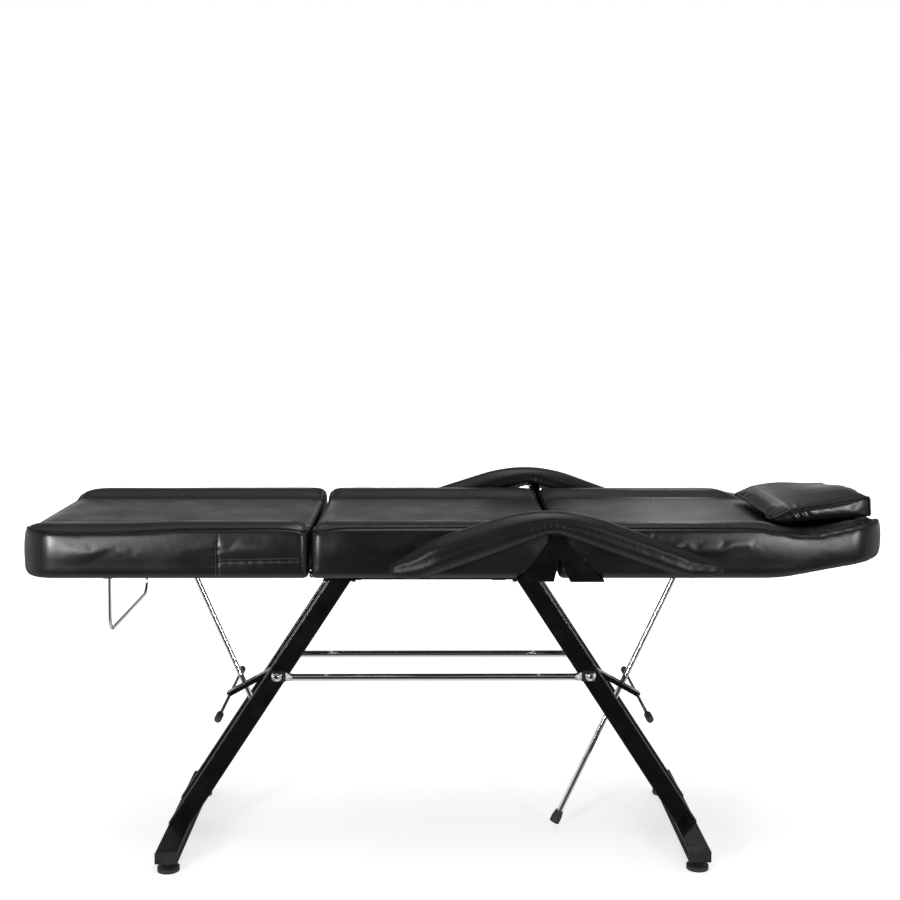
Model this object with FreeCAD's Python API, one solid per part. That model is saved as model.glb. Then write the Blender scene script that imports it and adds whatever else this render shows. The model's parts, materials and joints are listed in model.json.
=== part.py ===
import FreeCAD, Part
import math
import os

# Three-section facial treatment bed on crossed steel legs.
# Millimetres, +Z up, +X towards the head end, -Y is the side of the client's left hand.
# Origin: on the floor, under the middle of the bed.

V = FreeCAD.Vector

# Overall size
BED_LENGTH = 1850.0
BED_WIDTH = 610.0
HALF_LENGTH = BED_LENGTH / 2
HALF_WIDTH = BED_WIDTH / 2
DECK_Z = 665.0
CUSHION_TOP_Z = 768.0
RUN = 0.05
SKIN_GAP = 0.5
SNAP = 0.01

# Cushion sections along X
LEG_REST_END_X = -316.0
SEAT_FOOT_X = -299.0
SEAT_HEAD_X = 217.0
BACK_FOOT_X = 230.0
NECK_X = 757.0
NECK_Z = 757.0
HEAD_BEND_X = 700.0
HEAD_TOP_Z = 788.0
HEAD_BOTTOM_Z = 707.0
CUSHION_CORNER = 70.0
GAP_CORNER = 22.0
TOP_ROUND = 18.0
BOTTOM_ROUND = 8.0

# Plywood boards let into the cushions
BOARD_THICKNESS = 12.0
BOARD_INSET = 12.0
BOARD_CORNER = 58.0

# Head pillow
PILLOW_FRONT_X = 716.0
PILLOW_BROW_X = 744.0
PILLOW_HALF_WIDTH = 187.0
PILLOW_LIFT = 4.0
PILLOW_LIP = 6.0
PILLOW_BROW_Z = 792.0
PILLOW_BACK_Z = 828.0
PILLOW_CORNER = 26.0

# Legs, foot bars and levelling feet
LEG_CENTRE_X = -40.0
LEG_FOOT_REACH = 585.9
LEG_SLOPE = 0.653
LEG_WIDTH = 44.0
LEG_DEPTH = 25.0
LEG_OUTER_Y = 95.0
LEG_TOP_Z = 616.0
TUBE_WALL = 1.5
TUBE_CORNER = 3.0
FOOT_BAR_BOTTOM_Z = 25.0
FOOT_BAR_TOP_Z = 51.0
FOOT_BAR_WIDTH = 50.0
FOOT_BAR_HALF_LENGTH = 260.0
END_CAP_THICKNESS = 3.0
END_CAP_PLUG = 14.0
LEVELLER_Y = 233.0
LEVELLER_RADIUS = 24.5
LEVELLER_NECK_RADIUS = 15.0
LEVELLER_RIM_Z = 9.0
LEVELLER_TOP_Z = 14.0
STEM_RADIUS = 5.0
STEM_TOP_Z = 43.0
NUT_RADIUS = 9.0
NUT_HEIGHT = 7.0

# Cross tubes, stretchers and their bolts, at the height where rods and levers meet the legs
CROSS_Z = 396.0
CROSS_RADIUS = 9.0
BOLT_RADIUS = 5.0
BOLT_HEAD_RADIUS = 12.0
BOLT_HEAD_HEIGHT = 7.0
BOLT_SOCKET_RADIUS = 4.0
BOLT_SOCKET_DEPTH = 4.0
BOLT_GRIP = 25.0
STRETCHER_RADIUS = 8.0
STRETCHER_Y = 104.0
STRETCHER_PLATE = 4.0
STRETCHER_PLATE_HALF_HEIGHT = 12.0
STRETCHER_FLARE = 16.0
STRETCHER_PLATE_LENGTH = 34.0
STRETCHER_LUG_CORNER = 3.0
STRETCHER_OVERLAP = 1.0
OVAL_SIDES = 24

# Seat frame under the seat board
RAIL_HEIGHT = 30.0
CROSSBAR_HEIGHT = 15.0
CROSSBAR_WIDTH = 30.0
CROSSBAR_XS = (-215.0, 100.0)
CROSSBAR_HALF_LENGTH = 245.0
FLANGE_THICKNESS = 4.0
FLANGE_LENGTH = 74.0
FLANGE_BOLT_RADIUS = 4.0

# Leg rest hinge
HINGE_X = -308.0
HINGE_Z = 658.0
HINGE_YS = (-200.0, 200.0)
HINGE_HALF_WIDTH = 30.0
HINGE_BARREL_RADIUS = 6.0
HINGE_PIN_RADIUS = 3.0
HINGE_LEAF = 3.0
HINGE_LEAF_LENGTH = 50.0
HINGE_WEB_OVERLAP = 2.0
HINGE_LEAF_SETBACK = 1.0
HINGE_PIN_END = 2.0
HINGE_KNUCKLE_SPLIT = 11.0
KNUCKLE_GAP = 0.4

# Back pivot plates, both sides
PIVOT_X = 221.5
PIVOT_Z = 749.0
PLATE_THICKNESS = 4.0
SEAT_PLATE_Y = 311.0
BACK_PLATE_Y = 315.5
PLATE_EYE_RADIUS = 15.0
PLATE_TOP_HALF_WIDTH = 13.5
SEAT_PLATE_FOOT = (136.0, 214.0)
BACK_PLATE_FOOT = (249.0, 321.0)
PLATE_FLANGE_DEPTH = 62.0
PIVOT_BOLT_RADIUS = 5.0
PIVOT_HEAD_RADIUS = 10.0
PIVOT_CAP_RADIUS = 8.5
BACK_PLATE_BOLT_XS = (262.0, 305.0)
PLATE_BOLT_HEAD_RADIUS = 6.5
PLATE_BOLT_HEAD_HEIGHT = 3.5

# Armrests
ARM_INNER_Y = 330.0
ARM_OUTER_Y = 402.0
ARM_BRACKET_Y = 320.0
ARM_BRACKET_WIDTH = 26.0
ARM_STRAP = 5.0
ARM_STRAP_Z = 773.0
ARM_MIDDLE_Y = -(ARM_INNER_Y + ARM_OUTER_Y) / 2
ARM_CORE_THICKNESS = 8.0
ARM_CORE_WIDTH = 36.0
ARM_CORE_BEND = 60.0
ARM_CORE_FOOT = (-95.0, 704.0)
ARM_CORE_APEX = (208.0, 782.0)
ARM_CORE_HEAD = (525.0, 702.0)
ARM_PAD_OUTLINE = [(-139.0, 676.0, 14.0), (-134.0, 708.0, 12.0), (-45.0, 760.0, 150.0),
                   (205.0, 829.0, 330.0), (556.0, 712.0, 12.0), (568.0, 684.0, 10.0),
                   (490.0, 680.0, 150.0), (208.0, 774.0, 40.0), (-80.0, 676.0, 120.0)]

# Support rods, clevises and release levers
CLEVIS_PIN_RADIUS = 4.0
CLEVIS_EAR_INNER_Y = 7.0
CLEVIS_EAR = 3.0
CLEVIS_EAR_RADIUS = 11.0
CLEVIS_BASE_LENGTH = 64.0
CLEVIS_BASE_HALF_WIDTH = 22.0
CLEVIS_BASE = 3.0
ROD_EYE_RADIUS = 9.5
ROD_EYE_HALF_WIDTH = 6.0
ROD_TIP_RADIUS = 12.0
ROD_TIP_LENGTH = 30.0
ROD_TIP_CUP = 24.0
ROD_TIP_WALL = 2.5
CLEVIS_PIN_HEAD_RADIUS = 6.5
CLEVIS_PIN_HEAD = 2.5
LEG_ROD = {"pin": V(-617, 0, 650), "lock": V(-485, 0, 351), "radius": 6.0, "length": 392.0}
BACK_ROD = {"pin": V(547, 0, 650), "lock": V(405, 0, 349), "radius": 6.5, "length": 700.0}
LEG_LEVER_END = V(-525, 0, 327.5)
BACK_LEVER_END = V(447, 0, 325)
LEVER_HALF_WIDTH = 13.0
LEVER_SHEET = 3.0
LEVER_DEPTH = 11.0
LEVER_HUB_RADIUS = 13.0
LEVER_HUB_HALF_WIDTH = 25.0
LEVER_SLOT_INNER = 33.0
LEVER_SLOT_OUTER = 25.0
LEVER_SLOT_PLAY = 1.5
LEVER_SLOT_ROUNDNESS = 0.99
HANDLE_RADIUS = 3.5
HANDLE_HALF_LENGTH = 206.0
GRIP_RADIUS = 8.25
GRIP_LENGTH = 38.0
GRIP_HALF_SPAN = 210.0
SPRING_WIRE_RADIUS = 1.2
SPRING_RADIUS = 10.8
SPRING_START_Y = 28.0
SPRING_TURNS = 5.0
SPRING_PITCH = 3.2

# Towel bail under the leg rest
BAIL_X = -755.0
BAIL_Z = 655.0
BAIL_BOTTOM_Z = 528.0
BAIL_HALF_WIDTH = 203.0
BAIL_END_Y = 223.0
BAIL_WIRE_RADIUS = 3.75
BAIL_BEND = 32.0
BAIL_TOP_BEND = 5.6
CLIP_HALF_LENGTH = 10.0
CLIP_INNER_Y = 210.0
CLIP_OUTER_Y = 221.0
CLIP_FLOOR = 3.0


def box(x0, x1, y0, y1, z0, z1):
    return Part.makeBox(x1 - x0, y1 - y0, z1 - z0, V(x0, y0, z0))


def bar(start, end, radius):
    return Part.makeCylinder(radius, (end - start).Length, start, end - start)


def mirrored(shape):
    return shape.mirror(V(0, 0, 0), V(0, 1, 0))


def pair(shape):
    """The shape and its mirror image across the bed, as separate solids."""
    return Part.makeCompound([shape, mirrored(shape)])


def rounded_face(corners, place):
    """A flat face from (u, v, radius) corners; place turns u, v into a point."""
    arcs = []
    ends = []
    count = len(corners)
    for index in range(count):
        u, v, radius = corners[index]
        here = place(u, v)
        to_last = place(*corners[index - 1][:2]) - here
        to_next = place(*corners[(index + 1) % count][:2]) - here
        to_last.normalize()
        to_next.normalize()
        if radius == 0:
            arcs.append(None)
            ends.append((here, here))
            continue
        half = to_last.getAngle(to_next) / 2
        reach = radius / math.tan(half)
        inward = to_last + to_next
        inward.normalize()
        middle = here + inward * (radius / math.sin(half) - radius)
        start = here + to_last * reach
        finish = here + to_next * reach
        arcs.append(Part.Arc(start, middle, finish).toShape())
        ends.append((start, finish))
    outline = []
    for index in range(count):
        if arcs[index]:
            outline.append(arcs[index])
        following = ends[(index + 1) % count][0]
        if (following - ends[index][1]).Length > SNAP:
            outline.append(Part.LineSegment(ends[index][1], following).toShape())
    return Part.Face(Part.Wire(outline))


def side_prism(corners, y0, y1):
    """An XZ outline stretched across the bed from y0 to y1."""
    return rounded_face(corners, lambda x, z: V(x, y0, z)).extrude(V(0, y1 - y0, 0))


def plan_prism(corners, z0, z1):
    """An XY outline stretched upwards from z0 to z1."""
    return rounded_face(corners, lambda x, y: V(x, y, z0)).extrude(V(0, 0, z1 - z0))


def plan_rectangle(x0, x1, half_width, foot_radius, head_radius):
    return [(x0, -half_width, foot_radius), (x1, -half_width, head_radius),
            (x1, half_width, head_radius), (x0, half_width, foot_radius)]


def fillet_long_edges(shape, longer_than, radius):
    edges = [edge for edge in shape.Edges if edge.Length > longer_than]
    return shape.makeFillet(radius, edges)


# Boards and cushions

def board(x0, x1, foot_radius, head_radius, spare=0.0):
    """Plywood panel set into a cushion's underside; spare widens it to cut the pocket."""
    outline = plan_rectangle(x0 - spare, x1 + spare, HALF_WIDTH - BOARD_INSET + spare,
                             foot_radius, head_radius)
    return plan_prism(outline, DECK_Z, DECK_Z + BOARD_THICKNESS)


def leg_rest_board(spare=0.0):
    return board(-HALF_LENGTH + BOARD_INSET, LEG_REST_END_X - BOARD_INSET,
                 BOARD_CORNER, BOARD_INSET, spare)


def seat_board(spare=0.0):
    return board(SEAT_FOOT_X + BOARD_INSET, SEAT_HEAD_X - BOARD_INSET, BOARD_INSET, BOARD_INSET, spare)


def back_board(spare=0.0):
    return board(BACK_FOOT_X + BOARD_INSET, HEAD_BEND_X - BOARD_INSET / 2, BOARD_INSET, BOARD_INSET, spare)


def head_board(spare=0.0):
    """Panel under the raised head part, laid along its sloping underside."""
    rise = HEAD_BOTTOM_Z - DECK_Z
    run = HALF_LENGTH - HEAD_BEND_X
    tilt = math.degrees(math.atan2(rise, run))
    length = math.hypot(rise, run)
    outline = plan_rectangle(BOARD_INSET / 2 - spare, length - BOARD_INSET + spare,
                             HALF_WIDTH - BOARD_INSET + spare, BOARD_INSET, BOARD_CORNER)
    panel = plan_prism(outline, 0, BOARD_THICKNESS)
    panel.rotate(V(0, 0, 0), V(0, -1, 0), tilt)
    panel.translate(V(HEAD_BEND_X, 0, DECK_Z))
    return panel


def cushion(side_outline, x0, x1, foot_radius, head_radius, pockets):
    """Foam and cover of one section: side outline and plan outline intersected, boards let in."""
    side = side_prism(side_outline, -HALF_WIDTH, HALF_WIDTH)
    plan_outline = plan_rectangle(x0, x1, HALF_WIDTH, foot_radius, head_radius)
    plan = plan_prism(plan_outline, 0, 2 * CUSHION_TOP_Z)
    shape = side.common([plan], SNAP)
    for pocket in pockets:
        shape = shape.cut(pocket)
    return shape.Solids[0]


def flat_outline(x0, x1):
    return [(x0, DECK_Z, BOTTOM_ROUND), (x1, DECK_Z, BOTTOM_ROUND),
            (x1, CUSHION_TOP_Z, TOP_ROUND), (x0, CUSHION_TOP_Z, TOP_ROUND)]


def leg_rest_cushion():
    return cushion(flat_outline(-HALF_LENGTH, LEG_REST_END_X), -HALF_LENGTH, LEG_REST_END_X,
                   CUSHION_CORNER, GAP_CORNER, [leg_rest_board(SKIN_GAP)])


def seat_cushion():
    return cushion(flat_outline(SEAT_FOOT_X, SEAT_HEAD_X), SEAT_FOOT_X, SEAT_HEAD_X,
                   GAP_CORNER, GAP_CORNER, [seat_board(SKIN_GAP)])


def back_cushion():
    outline = [(BACK_FOOT_X, DECK_Z, BOTTOM_ROUND), (HEAD_BEND_X, DECK_Z, 0),
               (HALF_LENGTH, HEAD_BOTTOM_Z, BOTTOM_ROUND), (HALF_LENGTH, HEAD_TOP_Z, TOP_ROUND),
               (NECK_X, NECK_Z, 0), (HEAD_BEND_X, CUSHION_TOP_Z, 0),
               (BACK_FOOT_X, CUSHION_TOP_Z, TOP_ROUND)]
    return cushion(outline, BACK_FOOT_X, HALF_LENGTH, GAP_CORNER, CUSHION_CORNER,
                   [back_board(SKIN_GAP), head_board(SKIN_GAP)])


def pillow():
    """Wedge pillow that rests in the neck dip and on the raised head part."""
    neck_share = (PILLOW_FRONT_X - HEAD_BEND_X) / (NECK_X - HEAD_BEND_X)
    front_rest_z = CUSHION_TOP_Z - (CUSHION_TOP_Z - NECK_Z) * neck_share
    outline = [(PILLOW_FRONT_X, front_rest_z + PILLOW_LIFT, 0), (NECK_X, NECK_Z + PILLOW_LIFT, 0),
               (HALF_LENGTH, HEAD_TOP_Z + PILLOW_LIFT, 0), (HALF_LENGTH, PILLOW_BACK_Z, TOP_ROUND),
               (PILLOW_BROW_X, PILLOW_BROW_Z, TOP_ROUND),
               (PILLOW_FRONT_X, front_rest_z + PILLOW_LIFT + PILLOW_LIP, 0)]
    side = side_prism(outline, -PILLOW_HALF_WIDTH, PILLOW_HALF_WIDTH)
    plan = plan_prism(plan_rectangle(PILLOW_FRONT_X, HALF_LENGTH, PILLOW_HALF_WIDTH,
                                     PILLOW_CORNER, PILLOW_CORNER), 0, 2 * CUSHION_TOP_Z)
    return side.common([plan], SNAP).Solids[0]


# Legs and floor parts; end is -1 for the foot end and +1 for the head end

def leg_x(end, z):
    """X of a leg's middle line at a height."""
    return LEG_CENTRE_X + end * (LEG_FOOT_REACH - LEG_SLOPE * (z - FOOT_BAR_TOP_Z))


def leg_outline(end, width):
    half = width / 2 * math.hypot(1, LEG_SLOPE)
    foot = leg_x(end, FOOT_BAR_TOP_Z)
    top = leg_x(end, LEG_TOP_Z)
    return [(foot - half, FOOT_BAR_TOP_Z, 0), (foot + half, FOOT_BAR_TOP_Z, 0),
            (top + half, LEG_TOP_Z, 0), (top - half, LEG_TOP_Z, 0)]


def leg(end):
    """One inclined rectangular tube on the -Y side, with the cross bolt's hole."""
    inner_y = LEG_OUTER_Y - LEG_DEPTH
    outside = side_prism(leg_outline(end, LEG_WIDTH), -LEG_OUTER_Y, -inner_y)
    outside = fillet_long_edges(outside, LEG_TOP_Z - FOOT_BAR_TOP_Z, TUBE_CORNER)
    hollow = side_prism(leg_outline(end, LEG_WIDTH - 2 * TUBE_WALL),
                        -LEG_OUTER_Y + TUBE_WALL, -inner_y - TUBE_WALL)
    hole_x = leg_x(end, CROSS_Z)
    hole = bar(V(hole_x, -LEG_OUTER_Y, CROSS_Z), V(hole_x, -inner_y, CROSS_Z), BOLT_RADIUS)
    return outside.cut(hollow).cut(hole)


def leg_top_plates():
    """Flanges between the leg tops and the seat rails, one on each leg."""
    plates = []
    for end in (-1, 1):
        middle = leg_x(end, LEG_TOP_Z)
        plates.append(box(middle - FLANGE_LENGTH / 2, middle + FLANGE_LENGTH / 2,
                          -LEG_OUTER_Y, -LEG_OUTER_Y + LEG_DEPTH, LEG_TOP_Z, LEG_TOP_Z + FLANGE_THICKNESS))
    return pair(Part.makeCompound(plates))


def foot_bar(end):
    """Tube across the floor under two legs, open at both ends, holed below for the stems."""
    x = leg_x(end, FOOT_BAR_TOP_Z)
    half = FOOT_BAR_WIDTH / 2
    outside = box(x - half, x + half, -FOOT_BAR_HALF_LENGTH, FOOT_BAR_HALF_LENGTH,
                  FOOT_BAR_BOTTOM_Z, FOOT_BAR_TOP_Z)
    outside = fillet_long_edges(outside, FOOT_BAR_HALF_LENGTH, TUBE_CORNER)
    hollow = box(x - half + TUBE_WALL, x + half - TUBE_WALL, -FOOT_BAR_HALF_LENGTH, FOOT_BAR_HALF_LENGTH,
                 FOOT_BAR_BOTTOM_Z + TUBE_WALL, FOOT_BAR_TOP_Z - TUBE_WALL)
    shape = outside.cut(hollow)
    for y in (-LEVELLER_Y, LEVELLER_Y):
        shape = shape.cut(Part.makeCylinder(STEM_RADIUS + RUN, TUBE_WALL, V(x, y, FOOT_BAR_BOTTOM_Z)))
    return shape


def foot_bar_caps():
    """Plastic plugs that close the four open ends of the foot bars."""
    caps = []
    half = FOOT_BAR_WIDTH / 2
    end_y = -FOOT_BAR_HALF_LENGTH
    for end in (-1, 1):
        x = leg_x(end, FOOT_BAR_TOP_Z)
        lid = box(x - half, x + half, end_y - END_CAP_THICKNESS, end_y, FOOT_BAR_BOTTOM_Z, FOOT_BAR_TOP_Z)
        lid = lid.makeFillet(TUBE_CORNER, [edge for edge in lid.Edges if edge.Length < 2 * END_CAP_THICKNESS])
        plug = box(x - half + TUBE_WALL, x + half - TUBE_WALL, end_y, end_y + END_CAP_PLUG,
                   FOOT_BAR_BOTTOM_Z + TUBE_WALL, FOOT_BAR_TOP_Z - TUBE_WALL)
        caps.append(lid.fuse(plug))
    return pair(Part.makeCompound(caps))


def levelling_pad(end, y):
    """Turned rubber foot: straight rim, then a cone up to its neck, bored for the stem."""
    x = leg_x(end, FOOT_BAR_TOP_Z)
    rim = Part.makeCylinder(LEVELLER_RADIUS, LEVELLER_RIM_Z, V(x, y, 0))
    cone = Part.makeCone(LEVELLER_RADIUS, LEVELLER_NECK_RADIUS, LEVELLER_TOP_Z - LEVELLER_RIM_Z,
                         V(x, y, LEVELLER_RIM_Z))
    return rim.fuse(cone).cut(levelling_stem(end, y))


def levelling_stem(end, y):
    """Threaded stem with its hex collar, moulded into the pad."""
    x = leg_x(end, FOOT_BAR_TOP_Z)
    stem = Part.makeCylinder(STEM_RADIUS, STEM_TOP_Z - LEVELLER_RIM_Z, V(x, y, LEVELLER_RIM_Z))
    return stem.fuse(hexagon(x, y, LEVELLER_TOP_Z, NUT_HEIGHT))


def hexagon(x, y, z, height):
    """Six-sided nut blank standing on z."""
    corners = []
    for step in range(6):
        angle = math.radians(60 * step)
        corners.append((x + NUT_RADIUS * math.cos(angle), y + NUT_RADIUS * math.sin(angle), 0))
    return plan_prism(corners, z, z + height)


def levelling_nuts():
    """Nuts inside the foot bars that the stems screw into."""
    nuts = []
    for end in (-1, 1):
        x = leg_x(end, FOOT_BAR_TOP_Z)
        base_z = FOOT_BAR_BOTTOM_Z + TUBE_WALL
        nut = hexagon(x, -LEVELLER_Y, base_z, NUT_HEIGHT)
        nuts.append(nut.cut(Part.makeCylinder(STEM_RADIUS + RUN, NUT_HEIGHT, V(x, -LEVELLER_Y, base_z))))
    return pair(Part.makeCompound(nuts))


# Cross tubes, stretchers and bolts

def cross_tube(end):
    """Spacer between the two legs of one end; the release lever turns on it."""
    x = leg_x(end, CROSS_Z)
    inner_y = LEG_OUTER_Y - LEG_DEPTH
    tube = bar(V(x, -inner_y, CROSS_Z), V(x, inner_y, CROSS_Z), CROSS_RADIUS)
    return tube.cut(bar(V(x, -inner_y, CROSS_Z), V(x, inner_y, CROSS_Z), BOLT_RADIUS))


def stretcher_end(x, inward):
    """Bolted lug on one leg and the flare that turns it into the round tube."""
    plate_y = -LEG_OUTER_Y - STRETCHER_PLATE / 2
    lug_end = x + inward * (STRETCHER_PLATE_LENGTH - STRETCHER_PLATE_HALF_HEIGHT)
    low, high = sorted((x - inward * STRETCHER_PLATE_HALF_HEIGHT, lug_end))
    corner = STRETCHER_LUG_CORNER
    bottom_z = CROSS_Z - STRETCHER_PLATE_HALF_HEIGHT
    top_z = CROSS_Z + STRETCHER_PLATE_HALF_HEIGHT
    outline = [(low, bottom_z, corner), (high, bottom_z, corner), (high, top_z, corner), (low, top_z, corner)]
    lug = side_prism(outline, -LEG_OUTER_Y - STRETCHER_PLATE, -LEG_OUTER_Y)
    hole = bar(V(x, -LEG_OUTER_Y - STRETCHER_PLATE, CROSS_Z), V(x, -LEG_OUTER_Y, CROSS_Z), BOLT_RADIUS)
    lug = lug.cut(hole)
    flat_end = oval_wire(V(lug_end - inward * 2 * STRETCHER_OVERLAP, plate_y, CROSS_Z),
                         STRETCHER_PLATE_HALF_HEIGHT - STRETCHER_OVERLAP, STRETCHER_PLATE / 2)
    round_end = oval_wire(V(lug_end + inward * STRETCHER_FLARE, -STRETCHER_Y, CROSS_Z),
                          STRETCHER_RADIUS, STRETCHER_RADIUS)
    return lug.fuse(Part.makeLoft([flat_end, round_end], True, True))


def stretcher():
    """Tube along the -Y legs, its ends flared into flat bolted lugs."""
    left = leg_x(-1, CROSS_Z)
    right = leg_x(1, CROSS_Z)
    tube_reach = STRETCHER_PLATE_LENGTH - STRETCHER_PLATE_HALF_HEIGHT + STRETCHER_FLARE - STRETCHER_OVERLAP
    tube = bar(V(left + tube_reach, -STRETCHER_Y, CROSS_Z), V(right - tube_reach, -STRETCHER_Y, CROSS_Z),
               STRETCHER_RADIUS)
    return stretcher_end(left, 1).fuse(tube).fuse(stretcher_end(right, -1))


def oval_wire(centre, half_height, half_depth):
    """Closed many-sided oval in the YZ plane."""
    points = []
    for step in range(OVAL_SIDES):
        angle = 2 * math.pi * step / OVAL_SIDES
        points.append(centre + V(0, half_depth * math.cos(angle), half_height * math.sin(angle)))
    return Part.makePolygon(points + points[:1])


def stretcher_bolts():
    """Domed bolts through stretcher lug and leg into the cross tube's ends."""
    bolts = []
    for end in (-1, 1):
        x = leg_x(end, CROSS_Z)
        seat_y = -LEG_OUTER_Y - STRETCHER_PLATE
        tip_y = seat_y + STRETCHER_PLATE + LEG_DEPTH + BOLT_GRIP
        shank = bar(V(x, seat_y, CROSS_Z), V(x, tip_y, CROSS_Z), BOLT_RADIUS)
        head = domed_head(V(x, seat_y, CROSS_Z), V(0, -1, 0), BOLT_HEAD_RADIUS, BOLT_HEAD_HEIGHT)
        bolts.append(shank.fuse(head))
    return pair(Part.makeCompound(bolts))


def domed_head(seat, outward, radius, height):
    """Low dome on its seat, with a round drive recess."""
    ball_radius = (radius ** 2 + height ** 2) / (2 * height)
    ball = Part.makeSphere(ball_radius, seat + outward * (height - ball_radius))
    dome = ball.common(Part.makeCylinder(radius, height, seat, outward))
    recess_floor = seat + outward * height * (1 - BOLT_SOCKET_DEPTH / BOLT_HEAD_HEIGHT)
    recess_radius = BOLT_SOCKET_RADIUS * radius / BOLT_HEAD_RADIUS
    recess = Part.makeCylinder(recess_radius, BOLT_SOCKET_DEPTH, recess_floor, outward)
    return dome.cut(recess)


# Seat frame

def seat_rail():
    """Rail on the -Y side that the leg flanges bolt to."""
    top_z = LEG_TOP_Z + FLANGE_THICKNESS + RAIL_HEIGHT
    outside = box(SEAT_FOOT_X + BOARD_INSET, SEAT_HEAD_X - BOARD_INSET,
                  -LEG_OUTER_Y, -LEG_OUTER_Y + LEG_DEPTH, top_z - RAIL_HEIGHT, top_z)
    hollow = box(SEAT_FOOT_X, SEAT_HEAD_X, -LEG_OUTER_Y + TUBE_WALL, -LEG_OUTER_Y + LEG_DEPTH - TUBE_WALL,
                 top_z - RAIL_HEIGHT + TUBE_WALL, top_z - TUBE_WALL)
    return outside.cut(hollow)


def seat_crossbar(x):
    """Flat tube across the rails, screwed up into the seat board."""
    half = CROSSBAR_WIDTH / 2
    bottom_z = DECK_Z - CROSSBAR_HEIGHT
    outside = box(x - half, x + half, -CROSSBAR_HALF_LENGTH, CROSSBAR_HALF_LENGTH, bottom_z, DECK_Z)
    hollow = box(x - half + TUBE_WALL, x + half - TUBE_WALL, -CROSSBAR_HALF_LENGTH, CROSSBAR_HALF_LENGTH,
                 bottom_z + TUBE_WALL, DECK_Z - TUBE_WALL)
    return outside.cut(hollow)


def flange_bolts():
    """Two bolts beside each leg top, heads under the flange."""
    bolts = []
    for end in (-1, 1):
        middle = leg_x(end, LEG_TOP_Z)
        for side in (-1, 1):
            x = middle + side * (FLANGE_LENGTH / 2 - FLANGE_BOLT_RADIUS)
            y = -LEG_OUTER_Y + LEG_DEPTH / 2
            seat = V(x, y, LEG_TOP_Z - FLANGE_BOLT_RADIUS)
            bolts.append(Part.makeCylinder(FLANGE_BOLT_RADIUS, FLANGE_BOLT_RADIUS, seat))
    return pair(Part.makeCompound(bolts))


# Leg rest hinges

def hinge_half(y, side, knuckle_spans):
    """One leaf of a butt hinge and its knuckles; side is -1 towards the leg rest, +1 towards the seat."""
    near_x = HINGE_X + side * (HINGE_BARREL_RADIUS + HINGE_LEAF_SETBACK)
    far_x = HINGE_X + side * (HINGE_BARREL_RADIUS + HINGE_LEAF_LENGTH)
    low, high = sorted((near_x, far_x))
    shape = box(low, high, y - HINGE_HALF_WIDTH, y + HINGE_HALF_WIDTH, DECK_Z - HINGE_LEAF, DECK_Z)
    for start, end in knuckle_spans:
        barrel = bar(V(HINGE_X, y + start, HINGE_Z), V(HINGE_X, y + end, HINGE_Z), HINGE_BARREL_RADIUS)
        low, high = sorted((HINGE_X, HINGE_X + side * (HINGE_BARREL_RADIUS + HINGE_WEB_OVERLAP)))
        web = box(low, high, y + start, y + end, DECK_Z - HINGE_LEAF, DECK_Z - HINGE_LEAF_SETBACK)
        shape = shape.fuse(barrel).fuse(web)
    return shape.cut(bar(V(HINGE_X, y - HINGE_HALF_WIDTH, HINGE_Z), V(HINGE_X, y + HINGE_HALF_WIDTH, HINGE_Z),
                         HINGE_PIN_RADIUS + RUN))


def hinge_seat_leaves():
    spans = [(-HINGE_KNUCKLE_SPLIT, HINGE_KNUCKLE_SPLIT)]
    return Part.makeCompound([hinge_half(y, 1, spans) for y in HINGE_YS])


def hinge_leg_rest_leaves():
    spans = [(-HINGE_HALF_WIDTH, -HINGE_KNUCKLE_SPLIT - KNUCKLE_GAP),
             (HINGE_KNUCKLE_SPLIT + KNUCKLE_GAP, HINGE_HALF_WIDTH)]
    return Part.makeCompound([hinge_half(y, -1, spans) for y in HINGE_YS])


def hinge_pins():
    reach = HINGE_HALF_WIDTH + HINGE_PIN_END
    pins = [bar(V(HINGE_X, y - reach, HINGE_Z), V(HINGE_X, y + reach, HINGE_Z), HINGE_PIN_RADIUS)
            for y in HINGE_YS]
    return Part.makeCompound(pins)


# Back pivot plates and bolts, -Y side

def pivot_plate(foot, y, bore_radius):
    """Tapered plate from a flange under the board up to the pivot eye."""
    outer_y = -y - PLATE_THICKNESS
    flange_z = DECK_Z - PLATE_THICKNESS
    web = side_prism([(foot[0], flange_z, 0), (foot[1], flange_z, 0),
                      (PIVOT_X + PLATE_TOP_HALF_WIDTH, PIVOT_Z, 0),
                      (PIVOT_X - PLATE_TOP_HALF_WIDTH, PIVOT_Z, 0)], outer_y, -y)
    eye = bar(V(PIVOT_X, outer_y, PIVOT_Z), V(PIVOT_X, -y, PIVOT_Z), PLATE_EYE_RADIUS)
    flange = box(foot[0], foot[1], outer_y, -y + PLATE_FLANGE_DEPTH, flange_z, DECK_Z)
    hole = bar(V(PIVOT_X, outer_y, PIVOT_Z), V(PIVOT_X, -y, PIVOT_Z), bore_radius)
    return web.fuse(eye).fuse(flange).cut(hole)


def seat_plate():
    return pivot_plate(SEAT_PLATE_FOOT, SEAT_PLATE_Y, PIVOT_BOLT_RADIUS)


def back_plate():
    return pivot_plate(BACK_PLATE_FOOT, BACK_PLATE_Y, PIVOT_BOLT_RADIUS + RUN)


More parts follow.
